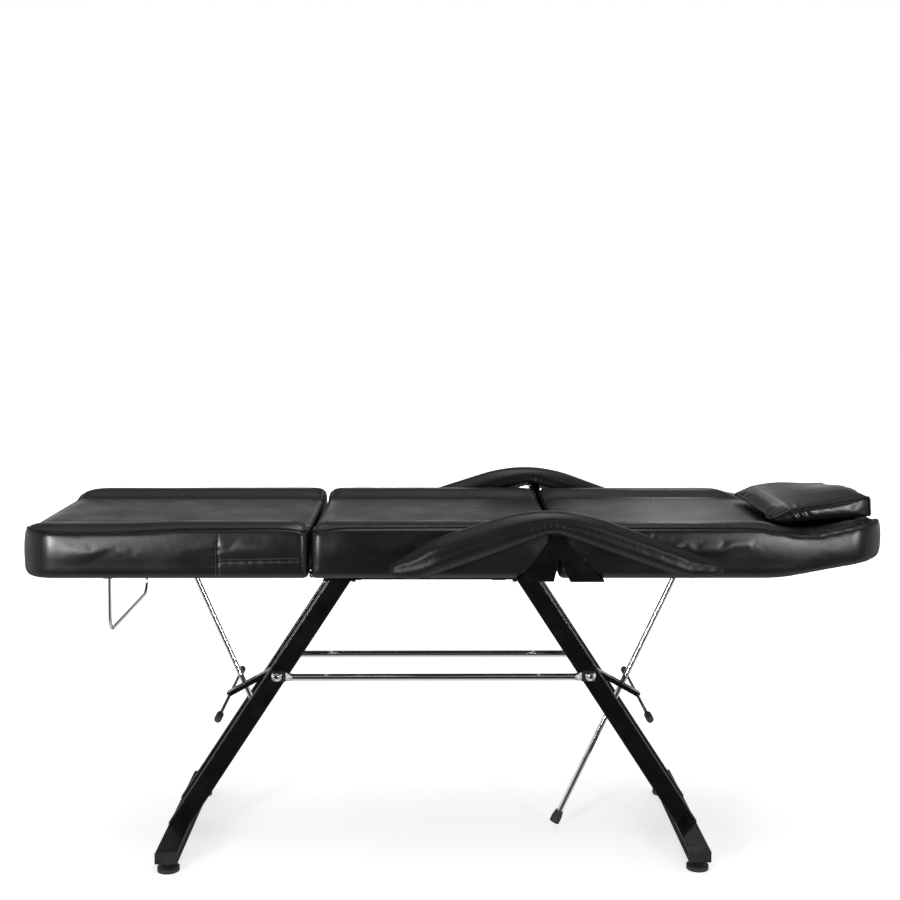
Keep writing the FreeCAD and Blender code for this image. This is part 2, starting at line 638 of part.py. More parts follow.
def pivot_bolt():
    """Bolt through both plates and the armrest bracket, thin head inside and nut outside."""
    inner_y = -SEAT_PLATE_Y
    outer_y = -ARM_BRACKET_Y - ARM_STRAP
    head_y = inner_y + PLATE_THICKNESS
    head = bar(V(PIVOT_X, head_y, PIVOT_Z), V(PIVOT_X, inner_y, PIVOT_Z), PIVOT_HEAD_RADIUS)
    shank = bar(V(PIVOT_X, inner_y, PIVOT_Z), V(PIVOT_X, outer_y, PIVOT_Z), PIVOT_BOLT_RADIUS)
    cap_start = V(PIVOT_X, outer_y - SKIN_GAP, PIVOT_Z)
    cap = bar(cap_start, cap_start + V(0, -PLATE_THICKNESS, 0), PIVOT_CAP_RADIUS)
    neck = bar(V(PIVOT_X, outer_y, PIVOT_Z), cap_start, PIVOT_BOLT_RADIUS)
    return head.fuse(shank).fuse(neck).fuse(cap)


def plate_bolts(xs, plate_y):
    """Dome-head bolts under a pivot plate's flange, both sides of the bed."""
    bolts = []
    for x in xs:
        seat = V(x, -plate_y + PLATE_FLANGE_DEPTH / 3, DECK_Z - PLATE_THICKNESS)
        bolts.append(domed_head(seat, V(0, 0, -1), PLATE_BOLT_HEAD_RADIUS, PLATE_BOLT_HEAD_HEIGHT))
    return pair(Part.makeCompound(bolts))


# Armrests, -Y side

def armrest_core():
    """Bent flat bar inside the pad, running most of its length."""
    half = ARM_CORE_THICKNESS / 2
    outline = []
    for (x, z), bend in ((ARM_CORE_FOOT, 0), (ARM_CORE_APEX, ARM_CORE_BEND), (ARM_CORE_HEAD, 0)):
        outline.append((x, z - half, bend))
    for (x, z), bend in ((ARM_CORE_HEAD, 0), (ARM_CORE_APEX, ARM_CORE_BEND + 2 * half), (ARM_CORE_FOOT, 0)):
        outline.append((x, z + half, bend))
    core = side_prism(outline, ARM_MIDDLE_Y - ARM_CORE_WIDTH / 2, ARM_MIDDLE_Y + ARM_CORE_WIDTH / 2)
    return core.cut(armrest_bracket())


def armrest_bracket():
    """Eye on the pivot bolt, upright strap, and a foot that turns out under the core."""
    half = ARM_BRACKET_WIDTH / 2
    outer_y = -ARM_BRACKET_Y - ARM_STRAP
    eye = bar(V(PIVOT_X, outer_y, PIVOT_Z), V(PIVOT_X, -ARM_BRACKET_Y, PIVOT_Z), half)
    upright = box(PIVOT_X - half, PIVOT_X + half, outer_y, -ARM_BRACKET_Y, PIVOT_Z, ARM_STRAP_Z)
    foot = box(PIVOT_X - half, PIVOT_X + half, ARM_MIDDLE_Y, -ARM_BRACKET_Y,
               ARM_STRAP_Z - ARM_STRAP, ARM_STRAP_Z)
    hole = bar(V(PIVOT_X, outer_y, PIVOT_Z), V(PIVOT_X, -ARM_BRACKET_Y, PIVOT_Z), PIVOT_BOLT_RADIUS + RUN)
    return eye.fuse(upright).fuse(foot).cut(hole)


def armrest_pad():
    """Bent pad, thickest along its arms and thinner at the bend, closed over the core."""
    pad = side_prism(ARM_PAD_OUTLINE, -ARM_OUTER_Y, -ARM_INNER_Y)
    return pad.cut(armrest_core()).cut(armrest_bracket())


# Support rods

def rod_direction(rod):
    down = rod["lock"] - rod["pin"]
    down.normalize()
    return down


def across(point, reach, radius):
    """Round bar across the bed, centred on a point of the middle plane."""
    return bar(point - V(0, reach, 0), point + V(0, reach, 0), radius)


def support_rod(rod):
    """Plain rod with an eye at the top, its lower end inside the rubber tip."""
    pin = rod["pin"]
    end = pin + rod_direction(rod) * (rod["length"] - ROD_TIP_LENGTH + ROD_TIP_CUP)
    eye = across(pin, ROD_EYE_HALF_WIDTH, ROD_EYE_RADIUS)
    hole = across(pin, CLEVIS_EAR_INNER_Y, CLEVIS_PIN_RADIUS + RUN)
    return bar(pin, end, rod["radius"]).fuse(eye).cut(hole)


def rod_tip(rod):
    """Rubber tip pushed over the rod's lower end."""
    down = rod_direction(rod)
    start = rod["pin"] + down * (rod["length"] - ROD_TIP_LENGTH)
    taper = Part.makeCone(rod["radius"] + ROD_TIP_WALL, ROD_TIP_RADIUS, ROD_TIP_LENGTH / 2, start, down)
    foot = Part.makeCylinder(ROD_TIP_RADIUS, ROD_TIP_LENGTH / 2, start + down * (ROD_TIP_LENGTH / 2), down)
    return taper.fuse(foot).cut(support_rod(rod))


def clevis(rod):
    """Base plate under the board with two ears that hold the rod's pin."""
    pin = rod["pin"]
    half = CLEVIS_BASE_LENGTH / 2
    base_z = DECK_Z - CLEVIS_BASE
    base = box(pin.x - half, pin.x + half, -CLEVIS_BASE_HALF_WIDTH, CLEVIS_BASE_HALF_WIDTH, base_z, DECK_Z)
    for y in (-CLEVIS_EAR_INNER_Y - CLEVIS_EAR, CLEVIS_EAR_INNER_Y):
        ear = bar(V(pin.x, y, pin.z), V(pin.x, y + CLEVIS_EAR, pin.z), CLEVIS_EAR_RADIUS)
        root = box(pin.x - CLEVIS_EAR_RADIUS, pin.x + CLEVIS_EAR_RADIUS, y, y + CLEVIS_EAR, pin.z, base_z)
        base = base.fuse(ear).fuse(root)
    return base.cut(clevis_pin(rod))


def clevis_pin(rod):
    """Headed pin through the ears and the rod's eye."""
    pin = rod["pin"]
    reach = CLEVIS_EAR_INNER_Y + CLEVIS_EAR
    shape = across(pin, reach, CLEVIS_PIN_RADIUS)
    for side in (-1, 1):
        start = V(pin.x, side * reach, pin.z)
        shape = shape.fuse(bar(start, start + V(0, side * CLEVIS_PIN_HEAD, 0), CLEVIS_PIN_HEAD_RADIUS))
    return shape


# Release levers: built along +X from the origin, then turned onto the line from pivot to handle

def lever_place(shape, pivot, end):
    line = end - pivot
    shape.rotate(V(0, 0, 0), V(0, -1, 0), math.degrees(math.atan2(line.z, line.x)))
    shape.translate(pivot)
    return shape


def lever_arm(pivot, end, rod):
    """Folded channel with a hub at the pivot and a long slot that the rod slides through."""
    length = (end - pivot).Length
    up = 1 if end.x > pivot.x else -1
    top_z = up * LEVER_DEPTH / 2
    web_z = sorted((top_z, top_z - up * LEVER_SHEET))
    flange_z = (-LEVER_DEPTH / 2, LEVER_DEPTH / 2)
    shape = bar(V(0, -LEVER_HUB_HALF_WIDTH, 0), V(0, LEVER_HUB_HALF_WIDTH, 0), LEVER_HUB_RADIUS)
    start_x = CROSS_RADIUS
    shape = shape.fuse(box(start_x, length, -LEVER_HALF_WIDTH, LEVER_HALF_WIDTH, web_z[0], web_z[1]))
    for y in (-LEVER_HALF_WIDTH, LEVER_HALF_WIDTH - LEVER_SHEET):
        shape = shape.fuse(box(start_x, length, y, y + LEVER_SHEET, flange_z[0], flange_z[1]))
    shape = shape.cut(bar(V(0, -LEVER_HUB_HALF_WIDTH, 0), V(0, LEVER_HUB_HALF_WIDTH, 0), CROSS_RADIUS + RUN))
    crossing = (rod["lock"] - pivot).Length
    slot_half_width = rod["radius"] + LEVER_SLOT_PLAY
    slot_corner = slot_half_width * LEVER_SLOT_ROUNDNESS
    slot = plan_rectangle(crossing - LEVER_SLOT_INNER, crossing + LEVER_SLOT_OUTER,
                          slot_half_width, slot_corner, slot_corner)
    shape = shape.cut(plan_prism(slot, -LEVER_DEPTH, LEVER_DEPTH))
    handle_x = length - 2 * HANDLE_RADIUS
    shape = shape.cut(bar(V(handle_x, -LEVER_HALF_WIDTH, 0), V(handle_x, LEVER_HALF_WIDTH, 0), HANDLE_RADIUS))
    return lever_place(shape, pivot, end)


def lever_handle(pivot, end):
    """Cross bar welded into the channel's end."""
    handle_x = (end - pivot).Length - 2 * HANDLE_RADIUS
    handle = bar(V(handle_x, -HANDLE_HALF_LENGTH, 0), V(handle_x, HANDLE_HALF_LENGTH, 0), HANDLE_RADIUS)
    return lever_place(handle, pivot, end)


def lever_grips(pivot, end):
    """Rubber sleeves over both ends of the cross bar."""
    handle_x = (end - pivot).Length - 2 * HANDLE_RADIUS
    inner_y = GRIP_HALF_SPAN - GRIP_LENGTH
    grip = bar(V(handle_x, -GRIP_HALF_SPAN, 0), V(handle_x, -inner_y, 0), GRIP_RADIUS)
    outer_edges = [edge for edge in grip.Edges if edge.Closed and edge.CenterOfMass.y < -HANDLE_HALF_LENGTH]
    grip = grip.makeFillet(GRIP_RADIUS / 2, outer_edges)
    grip = grip.cut(bar(V(handle_x, -HANDLE_HALF_LENGTH, 0), V(handle_x, 0, 0), HANDLE_RADIUS))
    return lever_place(pair(grip), pivot, end)


def lever_springs(end):
    """Torsion springs wound on the cross tube, one each side of the lever's hub."""
    helix = Part.makeHelix(SPRING_PITCH, SPRING_PITCH * SPRING_TURNS, SPRING_RADIUS)
    section = Part.Wire(Part.Circle(V(SPRING_RADIUS, 0, 0), V(0, 1, 0), SPRING_WIRE_RADIUS).toShape())
    spring = Part.Wire(helix).makePipeShell([section], True, True)
    spring.rotate(V(0, 0, 0), V(1, 0, 0), -90)
    spring.translate(V(leg_x(end, CROSS_Z), SPRING_START_Y, CROSS_Z))
    return pair(spring)


# Towel bail

def bail_wire():
    """Bent wire that hangs from two clips, its top ends turned outwards as pivots."""
    edge_y = BAIL_HALF_WIDTH
    corners = [(-BAIL_END_Y, BAIL_Z), (-edge_y, BAIL_Z), (-edge_y, BAIL_BOTTOM_Z),
               (edge_y, BAIL_BOTTOM_Z), (edge_y, BAIL_Z), (BAIL_END_Y, BAIL_Z)]
    bends = [0, BAIL_TOP_BEND, BAIL_BEND, BAIL_BEND, BAIL_TOP_BEND, 0]
    points = [V(BAIL_X, y, z) for y, z in corners]
    edges = []
    last = points[0]
    for index in range(1, len(points) - 1):
        back = (points[index - 1] - points[index]).normalize()
        ahead = (points[index + 1] - points[index]).normalize()
        start = points[index] + back * bends[index]
        finish = points[index] + ahead * bends[index]
        middle = points[index] + (back + ahead) * bends[index] * (1 - math.sqrt(0.5))
        edges.append(Part.LineSegment(last, start).toShape())
        edges.append(Part.Arc(start, middle, finish).toShape())
        last = finish
    edges.append(Part.LineSegment(last, points[-1]).toShape())
    section = Part.Wire(Part.Circle(points[0], V(0, 1, 0), BAIL_WIRE_RADIUS).toShape())
    return Part.Wire(edges).makePipeShell([section], True, False)


def bail_clips():
    clip = box(BAIL_X - CLIP_HALF_LENGTH, BAIL_X + CLIP_HALF_LENGTH, -CLIP_OUTER_Y, -CLIP_INNER_Y,
               BAIL_Z - BAIL_WIRE_RADIUS - CLIP_FLOOR, DECK_Z)
    hole = bar(V(BAIL_X, -CLIP_OUTER_Y, BAIL_Z), V(BAIL_X, -CLIP_INNER_Y, BAIL_Z), BAIL_WIRE_RADIUS + RUN)
    return pair(clip.cut(hole))


LEG_CROSS = V(leg_x(-1, CROSS_Z), 0, CROSS_Z)
BACK_CROSS = V(leg_x(1, CROSS_Z), 0, CROSS_Z)

nodes = {
    "leg_rest_board": leg_rest_board(),
    "leg_rest_cushion": leg_rest_cushion(),
    "seat_board": seat_board(),
    "seat_cushion": seat_cushion(),
    "back_board": back_board(),
    "head_board": head_board(),
    "back_cushion": back_cushion(),
    "head_pillow": pillow(),
    "foot_end_leg_left": leg(-1),
    "foot_end_leg_right": mirrored(leg(-1)),
    "head_end_leg_left": leg(1),
    "head_end_leg_right": mirrored(leg(1)),
    "leg_top_plates": leg_top_plates(),
    "leg_top_bolts": flange_bolts(),
    "foot_end_bar": foot_bar(-1),
    "head_end_bar": foot_bar(1),
    "foot_bar_caps": foot_bar_caps(),
    "levelling_nuts": levelling_nuts(),
    "foot_end_cross_tube": cross_tube(-1),
    "head_end_cross_tube": cross_tube(1),
    "stretcher_left": stretcher(),
    "stretcher_right": mirrored(stretcher()),
    "stretcher_bolts": stretcher_bolts(),
    "seat_rail_left": seat_rail(),
    "seat_rail_right": mirrored(seat_rail()),
    "seat_crossbar_foot": seat_crossbar(CROSSBAR_XS[0]),
    "seat_crossbar_head": seat_crossbar(CROSSBAR_XS[1]),
    "hinge_seat_leaves": hinge_seat_leaves(),
    "hinge_leg_rest_leaves": hinge_leg_rest_leaves(),
    "hinge_pins": hinge_pins(),
    "seat_plate_left": seat_plate(),
    "seat_plate_right": mirrored(seat_plate()),
    "back_plate_left": back_plate(),
    "back_plate_right": mirrored(back_plate()),
    "pivot_bolt_left": pivot_bolt(),
    "pivot_bolt_right": mirrored(pivot_bolt()),
    "back_plate_bolts": plate_bolts(BACK_PLATE_BOLT_XS, BACK_PLATE_Y),
    "armrest_core_left": armrest_core(),
    "armrest_core_right": mirrored(armrest_core()),
    "armrest_bracket_left": armrest_bracket(),
    "armrest_bracket_right": mirrored(armrest_bracket()),
    "armrest_pad_left": armrest_pad(),
    "armrest_pad_right": mirrored(armrest_pad()),
    "lever_springs": Part.makeCompound([lever_springs(-1), lever_springs(1)]),
    "bail_wire": bail_wire(),
    "bail_clips": bail_clips(),
}
for end, name in ((-1, "foot_end"), (1, "head_end")):
    for y, side in ((-LEVELLER_Y, "left"), (LEVELLER_Y, "right")):
        pad_and_stem = [levelling_pad(end, y), levelling_stem(end, y)]
        nodes["levelling_foot_" + name + "_" + side] = Part.makeCompound(pad_and_stem)
for name, rod, cross, lever_end, end in (("leg", LEG_ROD, LEG_CROSS, LEG_LEVER_END, -1),
                                         ("back", BACK_ROD, BACK_CROSS, BACK_LEVER_END, 1)):
    nodes[name + "_rod"] = support_rod(rod)
    nodes[name + "_rod_tip"] = rod_tip(rod)
    clevis_and_pin = [clevis(rod), clevis_pin(rod)]
    nodes[name + "_rod_clevis"] = Part.makeCompound(clevis_and_pin)
    lever_and_handle = [lever_arm(cross, lever_end, rod), lever_handle(cross, lever_end)]
    nodes[name + "_lever"] = Part.makeCompound(lever_and_handle)
    nodes[name + "_lever_grips"] = lever_grips(cross, lever_end)

os.makedirs("parts", exist_ok=True)
for name, shape in nodes.items():
    shape.exportStep("parts/" + name + ".step")
    print(name, len(shape.Solids), "valid" if shape.isValid() else "INVALID")
print(len(nodes), "nodes")
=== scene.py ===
import json
import math

import bmesh
import bpy
import numpy as np
from mathutils import Matrix, Vector
from mathutils.bvhtree import BVHTree


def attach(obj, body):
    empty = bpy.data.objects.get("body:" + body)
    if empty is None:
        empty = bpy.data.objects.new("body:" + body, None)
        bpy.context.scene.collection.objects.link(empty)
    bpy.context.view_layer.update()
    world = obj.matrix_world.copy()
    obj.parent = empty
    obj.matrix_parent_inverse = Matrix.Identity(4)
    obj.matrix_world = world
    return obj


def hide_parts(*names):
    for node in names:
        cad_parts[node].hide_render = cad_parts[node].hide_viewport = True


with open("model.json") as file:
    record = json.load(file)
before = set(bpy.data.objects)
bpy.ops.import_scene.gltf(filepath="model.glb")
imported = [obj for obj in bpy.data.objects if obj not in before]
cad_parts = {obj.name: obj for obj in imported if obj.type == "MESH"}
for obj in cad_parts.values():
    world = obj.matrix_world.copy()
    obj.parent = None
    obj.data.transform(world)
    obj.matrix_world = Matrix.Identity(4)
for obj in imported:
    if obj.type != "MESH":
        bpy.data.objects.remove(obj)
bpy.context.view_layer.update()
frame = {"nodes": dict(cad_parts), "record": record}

# Driving dimensions, metres
HALF_WIDTH = 0.305
PANEL_Z = 0.7655
UNDERSIDE_Z = 0.665
SEAM_LINE = ((-0.925, 0.7690), (-0.860, 0.7655), (-0.800, 0.7635), (-0.700, 0.7650), (-0.630, 0.7690),
             (-0.570, 0.7720), (-0.360, 0.7730), (-0.316, 0.7690), (-0.299, 0.7680),
             (-0.240, 0.7740), (0.2, 0.7755))
BOLSTER_START = 0.183
BOLSTER_RISE = 0.0140
NEAR_FOOT_DIP = 0.0045
NEAR_DIP_X = -0.58
EDGE_ROLL = 0.050
CORNER = 0.070
GAP_CORNER = 0.013
SIDE_BULGE = 0.0050
BOTTOM_INSET = 0.010
GAP_BOTTOM_INSET = 0.0025
COVER_WRAP = 0.0012
BOTTOM_RISE = 0.14
PIPING_RADIUS = 0.0023
GAP_BULGE = 0.0028
SEAM_TUCK = 0.0036
STITCH_PITCH = 0.0065
STITCH_LENGTH = 0.0042
STITCH_RADIUS = 0.0005
VOXEL = 0.0065
LEG_REST = (-0.925, -0.3122)
SEAT = (-0.3028, 0.2190)
BACK = (0.2275, 0.930)
BACK_TOP_LINE = ((0.2, 0.7655), (0.685, 0.7655), (0.762, 0.7530), (0.930, 0.7750))
BACK_SEAM_LINE = ((0.2, 0.7740), (0.650, 0.7740), (0.700, 0.7660), (0.765, 0.7560), (0.930, 0.7920))
BACK_UNDERSIDE_LINE = ((0.2, 0.665), (0.700, 0.665), (0.925, 0.707))
RECLINE_X = 0.2215
DUST_INSET = 0.034
DUST_GAP = 0.0020
JOIN_X = -0.502
CREASE_Z = 0.7030
SHORT_SEAM_X = 0.428
ARM_TOP_LINE = ((-0.139, 0.704), (-0.134, 0.708), (-0.045, 0.760),
                (0.205, 0.841), (0.556, 0.712), (0.568, 0.706))
ARM_LOW_LINE = ((-0.139, 0.682), (-0.080, 0.676), (0.208, 0.779), (0.490, 0.680), (0.568, 0.686))
ARM_ENDS = (-0.139, 0.568)
ARM_APEX_X = 0.205
ARM_CAP = 0.022
ARM_HALF_WIDTH = 0.036
ARM_MIDDLE_Y = 0.366
ARM_CREASE = 0.13
PILLOW_HALF_WIDTH = 0.187
PILLOW_CORNERS = ((0.703, 0.776), (0.752, 0.796), (0.930, 0.825), (0.932, 0.781), (0.738, 0.764))

# Cushion mesh: graded rim, grid cell, steps round a plan corner, rows across the rim and down the side
RIM = 0.078
CELL = 0.010
CORNER_STEPS = 10
RIM_INSETS = (1.0, 0.86, 0.72, 0.58, 0.45, 0.33, 0.23, 0.15, 0.085, 0.04, 0.0)
SIDE_SHARES = (0.04, 0.10, 0.2, 0.32, 0.45, 0.58, 0.72)

# Armrest mesh and the sampling of sewn lines
ARM_STATIONS = 60
ARM_SIDES = 36
ARM_VOXEL = 0.0045
ARM_SQUARENESS = 2 / 2.5
SEAM_SAMPLE = 0.002

# Cloth simulation: steps, pressures and the furthest a point may move
CLOTH_STEPS = 20
CUSHION_PRESSURE = 3.0
CUSHION_CAP = 0.0016
ARM_PRESSURE = 4.0
ARM_SWELL_CAP = 0.0012
PILLOW_SWELL_CAP = 0.0025

# Camera, metres and degrees
LENS = 55.73
SENSOR = 36.0
SHIFT_Y = -0.0778
CAMERA_PLACE = (-0.0588, -3.2475, 1.2743)
CAMERA_YAW = -0.973
CAMERA_DROP = 3.570
CAMERA_ROLL = 0.187

# Lights: name, place, target, size, watts
LIGHTS = (
    ("overhead_soft_light", (0.2, -0.30, 3.0), (0.0, -0.30, 0.6), (3.6, 1.2), 30),
    ("front_left_softbox", (-2.40, -4.2, 0.95), (-0.8, 0.0, 0.65), (0.35, 1.1), 96),
    ("front_right_softbox", (2.25, -4.3, 0.95), (0.8, 0.0, 0.65), (0.30, 1.1), 52),
    ("pillow_brow_light", (1.05, 2.9, 1.75), (0.73, 0.0, 0.79), (0.40, 0.30), 0.75),
)

# Studio floor and world
FLOOR_HALF = 30.0
# The floor glows by emission: lower near the middle, a painted shade round the bed, rising to full glow
# further out.
FLOOR_GLOW_START = 1.0
FLOOR_GLOW_END = 3.4
FLOOR_GLOW_IN_PAINTED_SHADE = 0.60
SIDE_GLOW = 0.8
UP_GLOW = 0.8
HORIZON_GLOW = 0.82
HORIZON_NARROWNESS = 3.5
BELOW_GLOW = 0.75
BASE_GLOW = 0.012


# ---------------------------------------------------------------- small helpers
def smooth_step(value):
    t = np.clip(value, 0.0, 1.0)
    return t * t * (3 - 2 * t)


def soft_line(x, line, reach):
    """Height of a polyline at x, with its corners rounded over reach."""
    xs = [p[0] for p in line]
    zs = [p[1] for p in line]
    offsets = np.linspace(-reach, reach, 9)
    return np.mean([np.interp(np.asarray(x) + o, xs, zs) for o in offsets], axis=0)


def mesh_object(name, vertices, faces, material=None):
    mesh = bpy.data.meshes.new(name)
    mesh.from_pydata([tuple(v) for v in vertices], [], faces)
    mesh.update()
    made = bpy.data.objects.new(name, mesh)
    bpy.context.scene.collection.objects.link(made)
    if material is not None:
        mesh.materials.append(material)
    shade_smooth(made)
    return made


def shade_smooth(made):
    made.data.polygons.foreach_set("use_smooth", [True] * len(made.data.polygons))
    made.data.update()


def clean_mesh(made, distance):
    """Merges doubled points and turns every face outward."""
    work = bmesh.new()
    work.from_mesh(made.data)
    bmesh.ops.remove_doubles(work, verts=work.verts, dist=distance)
    bmesh.ops.recalc_face_normals(work, faces=work.faces)
    work.to_mesh(made.data)
    work.free()
    shade_smooth(made)


def coordinates(made):
    values = np.zeros(len(made.data.vertices) * 3)
    made.data.vertices.foreach_get("co", values)
    return values.reshape(-1, 3)


def set_coordinates(made, values):
    made.data.vertices.foreach_set("co", np.asarray(values, dtype=float).ravel())
    made.data.update()


def baked(made):
    """Replaces the object's mesh by its evaluated one and drops the modifiers."""
    graph = bpy.context.evaluated_depsgraph_get()
    mesh = bpy.data.meshes.new_from_object(made.evaluated_get(graph))
    made.modifiers.clear()
    made.data = mesh
    shade_smooth(made)


def joined_mesh(name, parts, material):
    """One object from several (vertices, faces) lists."""
    vertices = []
    faces = []
    for part_vertices, part_faces in parts:
        start = len(vertices)
        vertices.extend(part_vertices)
        faces.extend([tuple(i + start for i in face) for face in part_faces])
    return mesh_object(name, vertices, faces, material)


def tube(points, radius, sides=8, closed=False):
    """Vertices and faces of a round tube along points."""
    points = [Vector(p) for p in points]
    count = len(points)
    vertices = []
    faces = []
    normal = None
    for i, point in enumerate(points):
        before = points[i - 1] if closed or i > 0 else point
        after = points[(i + 1) % count] if closed or i < count - 1 else point
        along = (after - before).normalized()
        if normal is None:
            normal = along.orthogonal().normalized()
        normal = (normal - along * normal.dot(along)).normalized()
        across = along.cross(normal)
        for k in range(sides):
            angle = 2 * math.pi * k / sides
            vertices.append(point + (normal * math.cos(angle) + across * math.sin(angle)) * radius)
    rings = count if closed else count - 1
    for i in range(rings):
        j = (i + 1) % count
        for k in range(sides):
            n = (k + 1) % sides
            faces.append((i * sides + k, i * sides + n, j * sides + n, j * sides + k))
    if not closed:
        faces.append(tuple(range(sides))[::-1])
        faces.append(tuple((count - 1) * sides + k for k in range(sides)))
    return vertices, faces


# ---------------------------------------------------------------- materials
def new_material(name, colour, roughness, metallic=0.0):
    made = bpy.data.materials.new(name)
    made.use_nodes = True
    shader = made.node_tree.nodes["Principled BSDF"]
    shader.inputs["Base Color"].default_value = (*colour, 1)
    shader.inputs["Roughness"].default_value = roughness
    shader.inputs["Metallic"].default_value = metallic
    return made


def add_node(made, kind, **values):
    node = made.node_tree.nodes.new(kind)
    for key, value in values.items():
        if key in node.inputs:
            node.inputs[key].default_value = value
        else:
            setattr(node, key, value)
    return node


def link(made, source, output, target, entry):
    made.node_tree.links.new(source.outputs[output], target.inputs[entry])


def object_noise(made, scale, detail=3.0, stretch=None):
    """Noise in the object's own metres, stretched along an axis if asked."""
    place = add_node(made, "ShaderNodeTexCoord")
    noise = add_node(made, "ShaderNodeTexNoise", Scale=scale, Detail=detail)
    if stretch is None:
        link(made, place, "Object", noise, "Vector")
    else:
        mapping = add_node(made, "ShaderNodeMapping", Scale=stretch)
        link(made, place, "Object", mapping, "Vector")
        link(made, mapping, "Vector", noise, "Vector")
    return noise


def vary_roughness(made, noise, low, high):
    spread = add_node(made, "ShaderNodeMapRange")
    spread.inputs["From Min"].default_value = 0.3
    spread.inputs["From Max"].default_value = 0.7
    spread.inputs["To Min"].default_value = low
    spread.inputs["To Max"].default_value = high
    link(made, noise, "Fac", spread, "Value")
    link(made, spread, "Result", made.node_tree.nodes["Principled BSDF"], "Roughness")


def vary_colour(made, noise, dark, light):
    ramp = add_node(made, "ShaderNodeValToRGB")
    ramp.color_ramp.elements[0].position = 0.35
    ramp.color_ramp.elements[0].color = (*dark, 1)
    ramp.color_ramp.elements[1].position = 0.65
    ramp.color_ramp.elements[1].color = (*light, 1)
    link(made, noise, "Fac", ramp, "Fac")
    link(made, ramp, "Color", made.node_tree.nodes["Principled BSDF"], "Base Color")


def add_bump(made, source, output, strength, distance, under=None):
    bump = add_node(made, "ShaderNodeBump", Strength=strength, Distance=distance)
    link(made, source, output, bump, "Height")
    if under is not None:
        link(made, under, "Normal", bump, "Normal")
    link(made, bump, "Normal", made.node_tree.nodes["Principled BSDF"], "Normal")
    return bump


def leather(name, shade, roughness, sheen=0.5):
    """Coated upholstery: pebbled grain over slow swells of gloss."""
    made = new_material(name, (shade, shade, shade * 1.03), roughness)
    shader = made.node_tree.nodes["Principled BSDF"]
    shader.inputs["Specular IOR Level"].default_value = sheen
    place = add_node(made, "ShaderNodeTexCoord")
    grain = add_node(made, "ShaderNodeTexVoronoi", Scale=850.0, Randomness=1.0)
    link(made, place, "Object", grain, "Vector")
    grain_bump = add_bump(made, grain, "Distance", 0.05, 0.0002)
    swell = object_noise(made, 70.0, 4.0)
    add_bump(made, swell, "Fac", 0.12, 0.0010, grain_bump)
    cloud = object_noise(made, 9.0, 4.0)
    vary_roughness(made, cloud, roughness - 0.05, roughness + 0.06)
    tone = object_noise(made, 5.0, 2.0)
    vary_colour(made, tone, (shade * 0.85,) * 3, (shade * 1.2, shade * 1.2, shade * 1.24))
    return made


def gloss_paint():
    made = new_material("black_powder_coat", (0.0022, 0.0022, 0.0024), 0.20)
    shader = made.node_tree.nodes["Principled BSDF"]
    shader.inputs["Coat Weight"].default_value = 0.3
    shader.inputs["Coat Roughness"].default_value = 0.08
    peel = object_noise(made, 500.0, 2.0)
    add_bump(made, peel, "Fac", 0.03, 0.0002)
    vary_roughness(made, object_noise(made, 30.0), 0.16, 0.26)
    return made


def chrome():
    made = new_material("bright_chrome", (0.90, 0.91, 0.92), 0.05, 1.0)
    add_bump(made, object_noise(made, 160.0, 2.0), "Fac", 0.006, 0.0004)
    vary_roughness(made, object_noise(made, 45.0, 4.0), 0.04, 0.09)
    return made


def rubber():
    made = new_material("moulded_rubber", (0.018, 0.018, 0.018), 0.62)
    add_bump(made, object_noise(made, 900.0, 2.0), "Fac", 0.25, 0.0003)
    vary_roughness(made, object_noise(made, 60.0), 0.55, 0.70)
    return made


def plastic():
    made = new_material("moulded_plastic", (0.012, 0.012, 0.013), 0.42)
    add_bump(made, object_noise(made, 700.0, 2.0), "Fac", 0.18, 0.0003)
    vary_roughness(made, object_noise(made, 50.0), 0.36, 0.48)
    return made


def plywood():
    made = new_material("birch_plywood", (0.52, 0.37, 0.22), 0.62)
    rings = object_noise(made, 9.0, 6.0, (1.0, 9.0, 30.0))
    vary_colour(made, rings, (0.44, 0.29, 0.16), (0.60, 0.44, 0.27))
    add_bump(made, rings, "Fac", 0.2, 0.0006)
    return made


def zinc():
    made = new_material("zinc_plated_steel", (0.50, 0.51, 0.53), 0.32, 1.0)
    spangle = object_noise(made, 240.0, 4.0)
    vary_colour(made, spangle, (0.42, 0.43, 0.45), (0.58, 0.59, 0.61))
    vary_roughness(made, spangle, 0.26, 0.40)
    return made


def thread():
    made = new_material("sewing_thread", (0.085, 0.085, 0.087), 0.6)
    add_bump(made, object_noise(made, 2500.0, 1.0, (1.0, 1.0, 3.0)), "Fac", 0.4, 0.0002)
    return made


def dust_fabric():
    """Thin pressed-fibre cloth with a dimpled bond pattern."""
    made = new_material("dust_cover_fabric", (0.006, 0.006, 0.0065), 0.85)
    place = add_node(made, "ShaderNodeTexCoord")
    dimples = add_node(made, "ShaderNodeTexVoronoi", Scale=380.0, Randomness=0.15)
    link(made, place, "Object", dimples, "Vector")
    add_bump(made, dimples, "Distance", 0.5, 0.0005)
    vary_roughness(made, object_noise(made, 900.0, 2.0), 0.78, 0.92)
    return made


FINISH = {
    "cover_leather": leather("coated_leather", 0.0040, 0.28),
    "black_paint": gloss_paint(),
    "chrome": chrome(),
    "black_rubber": rubber(),
    "black_plastic": plastic(),
    "plywood": plywood(),
    "zinc_steel": zinc(),
}
DUST_FABRIC = dust_fabric()
# Armrest leather: the cover leather with a lower base colour, a painted shade on the pads; it is also
# rougher, with less sheen.
ARM_LEATHER_PAINTED_SHADE = leather("armrest_leather_painted_shade", 0.0035, 0.36, 0.30)
# Piping leather: the cover leather at half its base colour, a painted shade that makes the welted seams read
# as dark lines; its sheen is lower too.
PIPING_PAINTED_SHADE_LEATHER = leather("piping_leather_painted_shade", 0.0020, 0.34, 0.22)
THREAD = thread()


def paint_cad_nodes():
    """Each carried-over CAD node takes the finish of its slot in the record."""
    for row in frame["record"]["subparts"]:
        node = frame["nodes"][row["node"]]
        node.data.materials.clear()
        node.data.materials.append(FINISH[row["material_slot"]])


